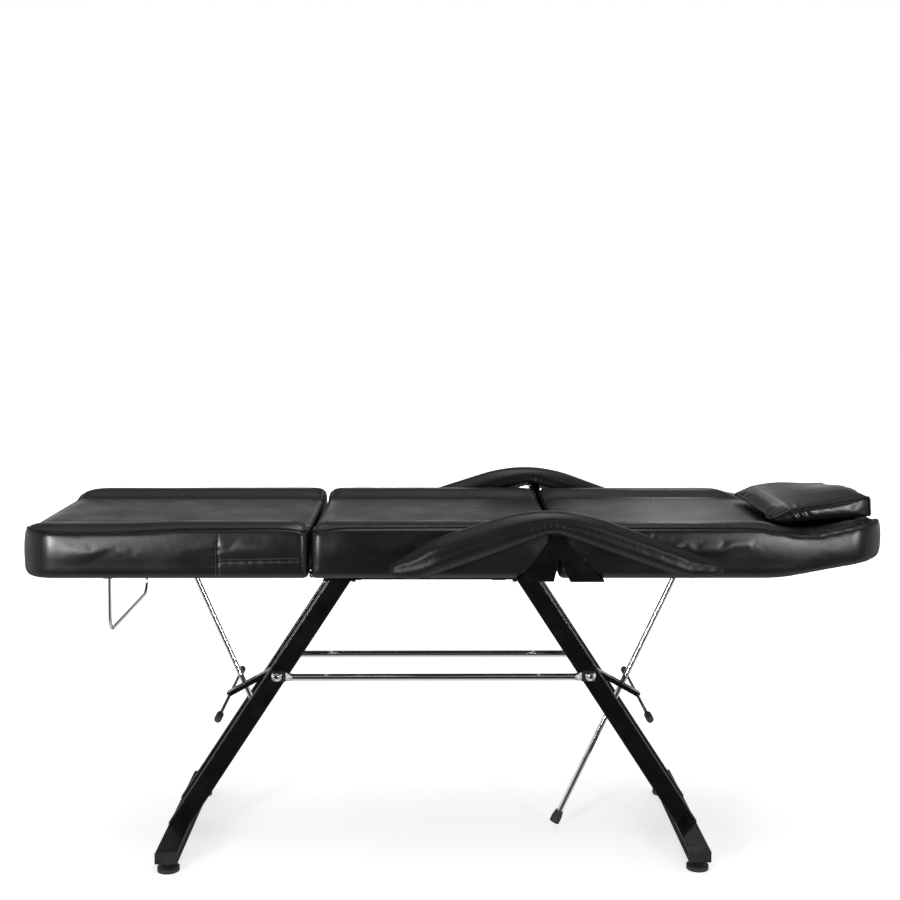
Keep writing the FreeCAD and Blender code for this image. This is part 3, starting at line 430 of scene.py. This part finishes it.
# ---------------------------------------------------------------- camera, floor and light
def make_camera():
    data = bpy.data.cameras.new("camera")
    data.sensor_width = SENSOR
    data.lens = LENS
    data.shift_y = SHIFT_Y
    data.clip_end = 100.0
    made = bpy.data.objects.new("camera", data)
    bpy.context.scene.collection.objects.link(made)
    turn = Matrix.Rotation(math.radians(CAMERA_YAW), 4, "Z")
    turn = turn @ Matrix.Rotation(math.radians(90 - CAMERA_DROP), 4, "X")
    turn = turn @ Matrix.Rotation(math.radians(CAMERA_ROLL), 4, "Z")
    made.matrix_world = Matrix.Translation(CAMERA_PLACE) @ turn
    bpy.context.scene.camera = made


def make_floor():
    size = FLOOR_HALF
    corners = [(-size, -size, 0), (size, -size, 0), (size, size, 0), (-size, size, 0)]
    paint = new_material("studio_floor", (0.9, 0.9, 0.9), 0.9)
    shader = paint.node_tree.nodes["Principled BSDF"]
    shader.inputs["Specular IOR Level"].default_value = 0.0
    shader.inputs["Emission Color"].default_value = (1, 1, 1, 1)
    place = add_node(paint, "ShaderNodeTexCoord")
    reach = add_node(paint, "ShaderNodeVectorMath", operation="LENGTH")
    link(paint, place, "Object", reach, 0)
    # Emission lowered near the bed: a painted shade round it, under which its cast shadows also show.
    painted_shade_glow_ramp = add_node(paint, "ShaderNodeMapRange")
    painted_shade_glow_ramp.inputs["From Min"].default_value = FLOOR_GLOW_START
    painted_shade_glow_ramp.inputs["From Max"].default_value = FLOOR_GLOW_END
    painted_shade_glow_ramp.inputs["To Min"].default_value = FLOOR_GLOW_IN_PAINTED_SHADE
    painted_shade_glow_ramp.inputs["To Max"].default_value = 1.0
    link(paint, reach, "Value", painted_shade_glow_ramp, "Value")
    link(paint, painted_shade_glow_ramp, "Result", shader, "Emission Strength")
    floor = mesh_object("studio_floor", corners, [(0, 1, 2, 3)], paint)
    floor.visible_glossy = False


def area_light(name, place, target, size, power):
    data = bpy.data.lights.new(name, "AREA")
    data.shape = "RECTANGLE"
    data.size, data.size_y = size
    data.energy = power
    made = bpy.data.objects.new(name, data)
    bpy.context.scene.collection.objects.link(made)
    made.location = place
    aim = Vector(target) - Vector(place)
    made.rotation_euler = aim.to_track_quat("-Z", "Y").to_euler()
    made.visible_camera = False


def make_world():
    world = bpy.data.worlds.new("studio")
    bpy.context.scene.world = world
    world.use_nodes = True
    tree = world.node_tree
    back = tree.nodes["Background"]
    place = tree.nodes.new("ShaderNodeTexCoord")
    split = tree.nodes.new("ShaderNodeSeparateXYZ")
    tree.links.new(place.outputs["Generated"], split.inputs[0])

    def math_node(operation, first, second):
        node = tree.nodes.new("ShaderNodeMath")
        node.operation = operation
        for entry, value in zip(node.inputs, (first, second)):
            if isinstance(value, (int, float)):
                entry.default_value = value
            else:
                tree.links.new(value, entry)
        return node.outputs[0]

    side = math_node("POWER", math_node("ABSOLUTE", split.outputs["X"], 0.0), 4.0)
    upward = math_node("POWER", math_node("MAXIMUM", split.outputs["Z"], 0.0), 2.8)
    height = math_node("ABSOLUTE", split.outputs["Z"], 0.0)
    low = math_node("SUBTRACT", 1.0, math_node("MULTIPLY", height, HORIZON_NARROWNESS))
    behind = math_node("MAXIMUM", split.outputs["Y"], 0.0)
    horizon = math_node("MULTIPLY", math_node("MAXIMUM", low, 0.0), behind)
    glow = math_node("ADD", math_node("MULTIPLY", side, SIDE_GLOW), math_node("MULTIPLY", upward, UP_GLOW))
    glow = math_node("ADD", glow, math_node("MULTIPLY", horizon, HORIZON_GLOW))
    downward = math_node("MULTIPLY", split.outputs["Z"], -1.0)
    below = math_node("POWER", math_node("MAXIMUM", downward, 0.0), 3.0)
    glow = math_node("ADD", glow, math_node("MULTIPLY", below, BELOW_GLOW))
    glow = math_node("ADD", glow, BASE_GLOW)
    ray = tree.nodes.new("ShaderNodeLightPath")
    strength = math_node("MAXIMUM", glow, ray.outputs["Is Camera Ray"])
    tree.links.new(strength, back.inputs["Strength"])
    back.inputs["Color"].default_value = (1, 1, 1, 1)


def make_light():
    make_world()
    for row in LIGHTS:
        area_light(*row)


# ---------------------------------------------------------------- cushions
def plan_distance(x, y, x0, x1, foot_radius, head_radius):
    """How far inside the rounded plan outline a point lies."""
    middle = (x0 + x1) / 2
    radius = np.where(x < middle, foot_radius, head_radius)
    qx = np.abs(x - middle) - ((x1 - x0) / 2 - radius)
    qy = np.abs(y) - (HALF_WIDTH - radius)
    outside = np.hypot(np.maximum(qx, 0), np.maximum(qy, 0))
    return -(outside + np.minimum(np.maximum(qx, qy), 0) - radius)


def outline_fan(corner, inner, radius, steps):
    """Outline points round one plan corner, with outward directions, from the X side to the Y side."""
    sign_x = 1 if corner[0] > inner[0] else -1
    sign_y = 1 if corner[1] > inner[1] else -1
    centre = (corner[0] - sign_x * radius, corner[1] - sign_y * radius)
    fan = []
    straight = abs(corner[0] - inner[0]) - radius
    for k in range(3):
        reach = straight * k / 3
        fan.append((corner[0], inner[1] + sign_y * reach, sign_x, 0.0))
    for k in range(steps + 1):
        angle = math.pi / 2 * k / steps
        nx, ny = sign_x * math.cos(angle), sign_y * math.sin(angle)
        fan.append((centre[0] + nx * radius, centre[1] + ny * radius, nx, ny))
    for k in range(1, 4):
        reach = straight * (1 - k / 3)
        fan.append((inner[0] + sign_x * reach, corner[1], 0.0, sign_y))
    return fan


def cushion_mesh(name, span, corner_radii, lines, fade_bolster):
    """Closed cushion over one plan outline: crowned panel, raised bolsters, bulged sides."""
    x0, x1 = span
    foot_radius, head_radius = corner_radii
    top_line, seam_line, board_line = lines
    inner_x0, inner_x1 = x0 + RIM, x1 - RIM
    inner_y = HALF_WIDTH - RIM
    nx = round((inner_x1 - inner_x0) / CELL)
    ny = round(2 * inner_y / CELL)
    gx = np.linspace(inner_x0, inner_x1, nx + 1)
    gy = np.linspace(-inner_y, inner_y, ny + 1)

    # the loop round the inner grid: (inner x, inner y, outline x, outline y, outward x, outward y)
    loop = []

    def corner_points(outer_x, inner_x, side, radius, backwards):
        inner = (inner_x, side * inner_y)
        fan = outline_fan((outer_x, side * HALF_WIDTH), inner, radius, CORNER_STEPS)
        return [(*inner, *f) for f in (fan[::-1] if backwards else fan)]

    for x in gx[1:-1]:
        loop.append((x, -inner_y, x, -HALF_WIDTH, 0.0, -1.0))
    loop += corner_points(x1, inner_x1, -1, head_radius, True)
    for y in gy[1:-1]:
        loop.append((inner_x1, y, x1, y, 1.0, 0.0))
    loop += corner_points(x1, inner_x1, 1, head_radius, False)
    for x in gx[1:-1][::-1]:
        loop.append((x, inner_y, x, HALF_WIDTH, 0.0, 1.0))
    loop += corner_points(x0, inner_x0, 1, foot_radius, True)
    for y in gy[1:-1][::-1]:
        loop.append((inner_x0, y, x0, y, -1.0, 0.0))
    loop += corner_points(x0, inner_x0, -1, foot_radius, False)
    loop = np.array(loop)
    count = len(loop)
    inside, outside, outward = loop[:, 0:2], loop[:, 2:4], loop[:, 4:6]

    def bottom_line(x):
        return board_line(x) - COVER_WRAP

    def top_height(x, y):
        depth = plan_distance(x, y, x0, x1, foot_radius, head_radius)
        across = np.clip((np.abs(y) - BOLSTER_START) / (HALF_WIDTH - BOLSTER_START), 0, 1)
        bolster = BOLSTER_RISE * smooth_step(across / 0.5) * fade_bolster(x)
        bolster = bolster * (1 - 0.45 * np.exp(-(((x - RECLINE_X) / 0.028) ** 2)))
        valley = 0.0012 * np.exp(-((np.abs(y) - BOLSTER_START) / 0.004) ** 2) * fade_bolster(x)
        near_dip = NEAR_FOOT_DIP * smooth_step((NEAR_DIP_X - x) / 0.15)
        near_dip = near_dip * (np.asarray(y) < 0) * smooth_step(across / 0.5)
        full = top_line(x) + bolster - valley - near_dip
        end = np.clip(1 - np.minimum(x - x0, x1 - x) / 0.07, 0, 1)
        seam = seam_line(x) - 0.0120 * smooth_step(end) * (1 - 0.80 * smooth_step(across / 0.6))
        roll = np.sqrt(np.clip(1 - (1 - np.clip(depth / EDGE_ROLL, 0, 1)) ** 2, 0, 1))
        return seam + (full - seam) * roll

    vertices = []
    rows = []

    def add_row(xy, z):
        start = len(vertices)
        for (px, py), pz in zip(xy, z):
            vertices.append((float(px), float(py), float(pz)))
        rows.append(start)

    for inset in RIM_INSETS:
        xy = outside + (inside - outside) * inset
        tuck = SEAM_TUCK * max(0.0, 1 - inset / 0.07)
        add_row(xy - outward * tuck, top_height(xy[:, 0], xy[:, 1]))
    seam_z = top_height(outside[:, 0], outside[:, 1])
    bottom_z = bottom_line(outside[:, 0])
    at_gap = np.zeros(count)
    if head_radius < CORNER:
        at_gap = np.maximum(at_gap, np.maximum(outward[:, 0], 0))
    if foot_radius < CORNER:
        at_gap = np.maximum(at_gap, np.maximum(-outward[:, 0], 0))
    side_bulge = (SIDE_BULGE + (GAP_BULGE - SIDE_BULGE) * at_gap)[:, None]
    for t in (*SIDE_SHARES, 1 - BOTTOM_RISE):
        swell = max(0.0, math.sin(math.pi * min(t / 0.95, 1.0)))
        bulge = side_bulge * swell ** (0.55 - 0.30 * at_gap[:, None])
        add_row(outside + outward * bulge, seam_z + (bottom_z - seam_z) * t)
    bottom_inset = (BOTTOM_INSET + (GAP_BOTTOM_INSET - BOTTOM_INSET) * at_gap)[:, None]
    for k in range(1, 6):
        angle = math.pi / 2 * k / 5
        inward = bottom_inset * (1 - math.cos(angle)) - 0.6 * GAP_BULGE * at_gap[:, None]
        rise = BOTTOM_RISE * (1 - math.sin(angle))
        add_row(outside - outward * inward, bottom_z + (seam_z - bottom_z) * rise)
    add_row(inside, bottom_line(inside[:, 0]))
    faces = []
    for a, b in zip(rows[:-1], rows[1:]):
        for i in range(count):
            j = (i + 1) % count
            faces.append((a + i, b + i, b + j, a + j))
    for upper in (True, False):
        start = len(vertices)
        for x in gx:
            for y in gy:
                z = top_height(x, y) if upper else bottom_line(x)
                vertices.append((float(x), float(y), float(z)))
        for i in range(nx):
            for j in range(ny):
                a = start + i * (ny + 1) + j
                faces.append((a, a + ny + 1, a + ny + 2, a + 1))
    made = mesh_object(name, vertices, faces, FINISH["cover_leather"])
    clean_mesh(made, 0.0003)
    outline = np.column_stack([outside, seam_z, outward])
    return made, outline


def remesh(made, size):
    modifier = made.modifiers.new("remesh", "REMESH")
    modifier.mode = "VOXEL"
    modifier.voxel_size = size
    baked(made)


def inflate(made, pressure, cap, hold=None):
    """Cloth pressure for a few steps; no point moves further than cap, scaled by hold(points)."""
    rest = coordinates(made)
    modifier = made.modifiers.new("cloth", "CLOTH")
    settings = modifier.settings
    settings.quality = 4
    settings.mass = 0.3
    settings.tension_stiffness = 18
    settings.compression_stiffness = 18
    settings.shear_stiffness = 8
    settings.bending_stiffness = 0.6
    settings.use_pressure = True
    settings.uniform_pressure_force = pressure
    settings.effector_weights.gravity = 0
    modifier.collision_settings.use_collision = False
    scene = bpy.context.scene
    for step in range(1, CLOTH_STEPS + 1):
        scene.frame_set(step)
    graph = bpy.context.evaluated_depsgraph_get()
    moved = bpy.data.meshes.new_from_object(made.evaluated_get(graph))
    values = np.zeros(len(moved.vertices) * 3)
    moved.vertices.foreach_get("co", values)
    made.modifiers.clear()
    scene.frame_set(1)
    shift = values.reshape(-1, 3) - rest
    length = np.linalg.norm(shift, axis=1)
    limit = np.full(len(rest), cap) if hold is None else cap * hold(rest)
    factor = limit * np.tanh(length / np.maximum(limit, 1e-6)) / np.maximum(length, 1e-9)
    set_coordinates(made, rest + shift * factor[:, None])
    bpy.data.meshes.remove(moved)


def subdivide(made, levels=1):
    modifier = made.modifiers.new("subdivision", "SUBSURF")
    modifier.levels = levels
    modifier.render_levels = levels
    baked(made)


def soften(made):
    remesh(made, VOXEL)
    rest_low = coordinates(made)[:, 2].min()

    def free_above_board(points):
        return np.clip((points[:, 2] - rest_low - 0.012) / 0.02, 0.05, 1.0)

    inflate(made, CUSHION_PRESSURE, CUSHION_CAP, free_above_board)
    subdivide(made)


def surface_tree(made):
    graph = bpy.context.evaluated_depsgraph_get()
    return BVHTree.FromObject(made, graph)


def on_surface(tree, point, direction, reach=0.03):
    """Where a ray from outside along -direction meets the surface, and its normal."""
    start = Vector(point) + Vector(direction) * reach
    hit, normal, _, _ = tree.ray_cast(start, -Vector(direction), 2 * reach)
    if hit is None:
        hit, normal, _, _ = tree.find_nearest(Vector(point))
    return hit, normal


def piping(name, made, outline, body):
    """Welted seam round the top edge, laid on the finished cover."""
    tree = surface_tree(made)
    points = []
    for x, y, z, nx, ny in outline:
        hit, _ = on_surface(tree, (x, y, z), (nx, ny, 0.0))
        points.append(hit + Vector((nx, ny, 0.0)) * PIPING_RADIUS * 0.35)
    kept = [points[0]]
    for point in points[1:]:
        if (point - kept[-1]).length > 0.004:
            kept.append(point)
    if (kept[-1] - kept[0]).length < 0.004:
        kept.pop()
    cord = joined_mesh(name, [tube(kept, PIPING_RADIUS, 8, closed=True)], PIPING_PAINTED_SHADE_LEATHER)
    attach(cord, body)
    return cord


def flat_top(x):
    return np.full(np.shape(x), PANEL_Z) if np.ndim(x) else PANEL_Z


def flat_seam(x):
    return soft_line(x, SEAM_LINE, 0.012)


def flat_underside(x):
    return np.full(np.shape(x), UNDERSIDE_Z) if np.ndim(x) else UNDERSIDE_Z


FLAT = (flat_top, flat_seam, flat_underside)
TILTED = (
    lambda x: soft_line(x, BACK_TOP_LINE, 0.035),
    lambda x: soft_line(x, BACK_SEAM_LINE, 0.030),
    lambda x: soft_line(x, BACK_UNDERSIDE_LINE, 0.030),
)


def make_cushion(name, span, radii, lines, fade, body, node):
    made, outline = cushion_mesh(name, span, radii, lines, fade)
    soften(made)
    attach(made, body)
    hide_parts(node)
    piping(name + "_piping", made, outline, body)
    return made


def full_bolster(x):
    return 1.0


def neck_fade(x):
    """Bolsters run out at the neck and come back along the raised head part."""
    x = np.asarray(x)
    return 1 - 0.85 * smooth_step((x - 0.665) / 0.080) + 0.75 * smooth_step((x - 0.770) / 0.10)


# ---------------------------------------------------------------- seams, stitches and puckers
def press_seam(made, points, width, depth):
    """Pulls the cover in along a sewn line."""
    values = coordinates(made)
    normals = np.zeros(len(values) * 3)
    made.data.vertices.foreach_get("normal", normals)
    normals = normals.reshape(-1, 3)
    line = np.array(points)
    low, high = line.min(axis=0) - 3 * width, line.max(axis=0) + 3 * width
    near = np.where(np.all((values >= low) & (values <= high), axis=1))[0]
    if len(near) == 0:
        return
    gap = np.sqrt(((values[near][:, None, :] - line[None, :, :]) ** 2).sum(axis=2).min(axis=1))
    values[near] -= normals[near] * (depth * np.exp(-((gap / width) ** 2)))[:, None]
    set_coordinates(made, values)


def even_points(start, end, pitch):
    count = max(2, round((Vector(end) - Vector(start)).length / pitch))
    return [Vector(start).lerp(Vector(end), k / count) for k in range(count + 1)]


def stitch_row(tree, start, end, outward):
    """Thread showing as short raised runs along a sewn line."""
    parts = []
    points = even_points(start, end, STITCH_PITCH)
    along = (Vector(end) - Vector(start)).normalized()
    for point in points:
        run = []
        for share, painted_shade_glow_ramp in ((-0.5, -0.0004), (0.0, 0.0002), (0.5, -0.0004)):
            hit, _ = on_surface(tree, point + along * STITCH_LENGTH * share, outward)
            run.append(hit + Vector(outward) * painted_shade_glow_ramp)
        parts.append(tube(run, STITCH_RADIUS, 6))
    return parts


def side_seams(made, sides, body, name):
    """The joined side band: one upright seam, one level crease, each double stitched."""
    for sign in sides:
        y = sign * HALF_WIDTH
        skin_y = y + sign * SIDE_BULGE
        upright = even_points((JOIN_X, skin_y, 0.760), (JOIN_X, skin_y, 0.668), SEAM_SAMPLE)
        crease_end = (LEG_REST[1] - 0.02, skin_y, CREASE_Z + 0.003)
        crease = even_points((JOIN_X, skin_y, CREASE_Z), crease_end, SEAM_SAMPLE)
        press_seam(made, upright, 0.0026, 0.0024)
        press_seam(made, crease, 0.0026, 0.0020)
        pucker(made, (JOIN_X, y, 0.715), (0.012, 0.02, 0.050), 0.015, 0.0003, (0.0, 0.0, 1.0))
        pucker(made, (-0.41, y, CREASE_Z), (0.080, 0.02, 0.010), 0.021, 0.0003, (1.0, 0.0, 0.0))
    tree = surface_tree(made)
    parts = []
    for sign in sides:
        y = sign * HALF_WIDTH
        outward = (0.0, sign, 0.0)
        for offset in (-0.0045, 0.0045):
            parts += stitch_row(tree, (JOIN_X + offset, y, 0.757), (JOIN_X + offset, y, 0.672), outward)
        for offset in (-0.0040, 0.0040):
            parts += stitch_row(tree, (JOIN_X + 0.008, y, CREASE_Z + offset),
                                (LEG_REST[1] - 0.02, y, CREASE_Z + offset + 0.003), outward)
    thread_rows = joined_mesh(name, parts, THREAD)
    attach(thread_rows, body)


def pucker(made, place, reach, pitch, depth, direction):
    """Small gathered pleats across direction, fading away from place."""
    values = coordinates(made)
    normals = np.zeros(len(values) * 3)
    made.data.vertices.foreach_get("normal", normals)
    normals = normals.reshape(-1, 3)
    offset = values - np.array(place)
    fade = np.exp(-((np.abs(offset) / np.array(reach)) ** 2).sum(axis=1))
    along = offset @ np.array(direction)
    wander = 0.35 * np.sin(values[:, 2] * 90 + values[:, 1] * 40) + 0.25 * np.sin(values[:, 0] * 130)
    wave = np.sin(2 * math.pi * along / pitch + 2.2 * wander)
    values += normals * (depth * fade * wave)[:, None]
    set_coordinates(made, values)


def corner_gathers():
    """Pleats where the cover is drawn round the cushions' corners at both gaps."""
    corners = ((leg_rest_cover, LEG_REST[1], -1), (seat_cover, SEAT[0], 1),
               (seat_cover, SEAT[1], -1), (back_cover, BACK[0], 1))
    for made, edge, inward in corners:
        for sign in (-1, 1):
            place = (edge + inward * 0.012, sign * (HALF_WIDTH - 0.035), 0.772)
            pucker(made, place, (0.024, 0.045, 0.022), 0.017, 0.0013, (0.25 * inward, sign, 0.0))


def short_seam(made):
    """Short joining seam of the back's side band, under the piping on each side."""
    parts = []
    for sign in (-1, 1):
        y = sign * (HALF_WIDTH + SIDE_BULGE)
        line = even_points((SHORT_SEAM_X, y, 0.770), (SHORT_SEAM_X, y, 0.754), SEAM_SAMPLE)
        press_seam(made, line, 0.0030, 0.0018)
    tree = surface_tree(made)
    for sign in (-1, 1):
        y = sign * HALF_WIDTH
        for offset in (-0.0035, 0.0035):
            x = SHORT_SEAM_X + offset
            parts += stitch_row(tree, (x, y, 0.769), (x, y, 0.755), (0.0, sign, 0.0))
    rows = joined_mesh("back_short_seam_stitches", parts, THREAD)
    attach(rows, "back")


# ---------------------------------------------------------------- armrest pads
def arm_section(x):
    """Centre height, half height and half width of the pad at x."""
    top = soft_line(x, ARM_TOP_LINE, 0.012)
    crown = soft_line(x, ARM_TOP_LINE, 0.105)
    top = crown + (top - crown) * (1 - smooth_step((0.19 - np.abs(x - ARM_APEX_X)) / 0.08))
    low = soft_line(x, ARM_LOW_LINE, 0.014)
    tip = min(x - ARM_ENDS[0], ARM_ENDS[1] - x)
    cap = math.sqrt(max(0.0, 1 - (1 - min(tip / ARM_CAP, 1.0)) ** 2))
    taper = 0.55 + 0.45 * float(smooth_step(tip / 0.11))
    return (top + low) / 2, max((top - low) / 2 * cap, 0.0006), max(ARM_HALF_WIDTH * taper * cap, 0.0006)


def armrest(side_name, sign):
    stations = []
    for k in range(ARM_STATIONS + 1):
        share = 0.5 - 0.5 * math.cos(math.pi * (k / ARM_STATIONS))
        stations.append(ARM_ENDS[0] + (ARM_ENDS[1] - ARM_ENDS[0]) * share)
    sides = ARM_SIDES
    y_middle = sign * ARM_MIDDLE_Y
    vertices = []
    for x in stations:
        middle, half_height, half_width = arm_section(x)
        for j in range(sides):
            angle = 2 * math.pi * j / sides
            c, v = math.cos(angle), math.sin(angle)
            side = math.copysign(abs(c) ** ARM_SQUARENESS, c)
            rise = math.copysign(abs(v) ** ARM_SQUARENESS, v)
            tuck = 1 - ARM_CREASE * math.exp(-(((v - 0.05) / 0.20) ** 2))
            vertices.append((x, y_middle + side * half_width * tuck, middle + rise * half_height))
    faces = []
    for i in range(len(stations) - 1):
        for j in range(sides):
            n = (j + 1) % sides
            faces.append((i * sides + j, (i + 1) * sides + j, (i + 1) * sides + n, i * sides + n))
    faces.append(tuple(range(sides)))
    faces.append(tuple((len(stations) - 1) * sides + j for j in range(sides))[::-1])
    name = "armrest_cover_" + side_name
    body = "armrest_" + side_name
    made = mesh_object(name, vertices, faces, ARM_LEATHER_PAINTED_SHADE)
    clean_mesh(made, 0.0001)
    remesh(made, ARM_VOXEL)
    inflate(made, ARM_PRESSURE, ARM_SWELL_CAP)
    subdivide(made)
    pucker(made, (ARM_APEX_X, y_middle, 0.774), (0.045, 0.06, 0.022), 0.0130, 0.0006, (1.0, 0.0, 0.0))
    for end in ARM_ENDS:
        pucker(made, (end, y_middle, 0.690), (0.030, 0.05, 0.03), 0.0110, 0.0003, (0.3, 0.5, 1.0))
    tree = surface_tree(made)
    points = []
    for x in np.linspace(ARM_ENDS[0] + 0.014, ARM_ENDS[1] - 0.014, 120):
        middle = arm_section(float(x))[0]
        hit, _ = on_surface(tree, (x, y_middle + sign * 0.010, middle), (0.0, 0.0, -1.0), 0.08)
        points.append(hit + Vector((0.0, 0.0, 0.0002)))
    seam = joined_mesh("armrest_piping_" + side_name, [tube(points, 0.0012, 8)], PIPING_PAINTED_SHADE_LEATHER)
    for piece in (made, seam):
        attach(piece, body)
    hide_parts("armrest_pad_" + side_name)


# ---------------------------------------------------------------- head pillow
def pillow_outline(steps):
    """Side outline of the wedge: front bottom edge, brow, back and round underneath."""
    corners = [Vector((x, z)) for x, z in PILLOW_CORNERS]
    points = []
    count = len(corners)
    for k in range(count):
        for t in range(steps):
            points.append(corners[k].lerp(corners[(k + 1) % count], t / steps))
    return points


def pillow_point(x, y, z):
    """Soft sag and crown of the wedge."""
    across = y / PILLOW_HALF_WIDTH
    level = (z - 0.765) / 0.06
    crown = 0.005 * (1 - across ** 2) * max(level, 0.0) * min(1.0, (x - PILLOW_CORNERS[0][0]) / 0.03)
    far_sag = 0.020 * float(smooth_step((x - 0.770) / 0.15))
    far_sag = far_sag * float(smooth_step((across + 0.45) / 1.45)) * max(level, 0.0)
    near_tip = 0.004 * float(smooth_step((0.765 - x) / 0.05)) * float(smooth_step((-across - 0.6) / 0.4))
    return (x, y, z + crown - far_sag - near_tip)


def pillow():
    steps = 8
    outline = pillow_outline(steps)
    count = len(outline)
    centre = sum(outline, Vector((0.0, 0.0))) / count
    vertices = []
    rows = 0
    side_rings = [(0.0, 0.006), (0.35, 0.006), (0.65, 0.005), (0.85, 0.0030), (0.95, 0.0012), (1.0, 0.0)]
    spans = np.linspace(-1, 1, 37)
    for share, bulge in side_rings[:-1]:
        for p in outline:
            q = centre.lerp(p, max(share, 0.02))
            vertices.append(pillow_point(q.x, -PILLOW_HALF_WIDTH - bulge, q.y))
        rows += 1
    for t in spans:
        for p in outline:
            vertices.append(pillow_point(p.x, t * PILLOW_HALF_WIDTH, p.y))
        rows += 1
    for share, bulge in side_rings[:-1][::-1]:
        for p in outline:
            q = centre.lerp(p, max(share, 0.02))
            vertices.append(pillow_point(q.x, PILLOW_HALF_WIDTH + bulge, q.y))
        rows += 1
    faces = []
    for i in range(rows - 1):
        for j in range(count):
            n = (j + 1) % count
            faces.append((i * count + j, i * count + n, (i + 1) * count + n, (i + 1) * count + j))
    faces.append(tuple(range(count))[::-1])
    faces.append(tuple((rows - 1) * count + j for j in range(count)))
    made = mesh_object("head_pillow_cover", vertices, faces, FINISH["cover_leather"])
    clean_mesh(made, 0.0001)
    remesh(made, ARM_VOXEL)
    inflate(made, ARM_PRESSURE, PILLOW_SWELL_CAP)
    subdivide(made)
    pucker(made, (0.775, -PILLOW_HALF_WIDTH, 0.785), (0.020, 0.03, 0.02), 0.024, 0.0011, (1.0, 0.0, 0.6))
    tree = surface_tree(made)
    parts = []
    for sign in (-1, 1):
        run = []
        for k in range(0, 3 * steps + 1):
            p = outline[k]
            x, y, z = pillow_point(p.x, sign * PILLOW_HALF_WIDTH, p.y)
            away = Vector((p.x - centre.x, 0.0, p.y - centre.y)).normalized() * 0.6
            away = (away + Vector((0.0, sign, 0.0)) * 0.8).normalized()
            hit, _ = on_surface(tree, (x, y, z), away, 0.02)
            run.append(hit + away * PIPING_RADIUS * 0.6)
        parts.append(tube(run, PIPING_RADIUS, 8))
    front = []
    for t in spans:
        x, y, z = pillow_point(outline[0].x, t * PILLOW_HALF_WIDTH * 0.995, outline[0].y)
        ahead = Vector((-0.9, 0.0, -0.3)).normalized()
        hit, _ = on_surface(tree, (x, y, z), ahead, 0.02)
        front.append(hit + ahead * PIPING_RADIUS * 0.6)
    parts.append(tube(front, PIPING_RADIUS, 8))
    seam = joined_mesh("head_pillow_piping", parts, PIPING_PAINTED_SHADE_LEATHER)
    for piece in (made, seam):
        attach(piece, "pillow")
    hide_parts("head_pillow")


# ---------------------------------------------------------------- underside
def dust_cover(name, span, underside, body):
    """Black non-woven sheet stapled under a board."""
    x0, x1 = span[0] + DUST_INSET, span[1] - DUST_INSET
    half = HALF_WIDTH - DUST_INSET
    nx, ny = 40, 36
    vertices = []
    for i in range(nx + 1):
        x = x0 + (x1 - x0) * i / nx
        z = float(underside(x)) - DUST_GAP
        for j in range(ny + 1):
            y = -half + 2 * half * j / ny
            corner = min(x - x0, x1 - x, half - abs(y))
            drape = 0.0002 * math.sin(37 * x + 11 * y) * min(1.0, corner / 0.04)
            vertices.append((x, y, z + drape))
    faces = []
    for i in range(nx):
        for j in range(ny):
            a = i * (ny + 1) + j
            faces.append((a, a + 1, a + ny + 2, a + ny + 1))
    made = mesh_object(name, vertices, faces, DUST_FABRIC)
    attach(made, body)


# ---------------------------------------------------------------- build
make_camera()
make_floor()
make_light()
paint_cad_nodes()
leg_rest_cover = make_cushion("leg_rest_cover", LEG_REST, (CORNER, GAP_CORNER), FLAT, full_bolster,
                              "leg_rest", "leg_rest_cushion")
seat_cover = make_cushion("seat_cover", SEAT, (GAP_CORNER, GAP_CORNER), FLAT, full_bolster,
                          "frame", "seat_cushion")
back_cover = make_cushion("back_cover", BACK, (GAP_CORNER, CORNER), TILTED, neck_fade, "back", "back_cushion")
side_seams(leg_rest_cover, (-1, 1), "leg_rest", "leg_rest_stitches")
corner_gathers()
short_seam(back_cover)
dust_cover("leg_rest_dust_cover", LEG_REST, flat_underside, "leg_rest")
dust_cover("seat_dust_cover", SEAT, flat_underside, "frame")
dust_cover("back_dust_cover", BACK, TILTED[2], "back")
armrest("left", -1)
armrest("right", 1)
pillow()

bpy.context.scene.view_settings.view_transform = "Standard"
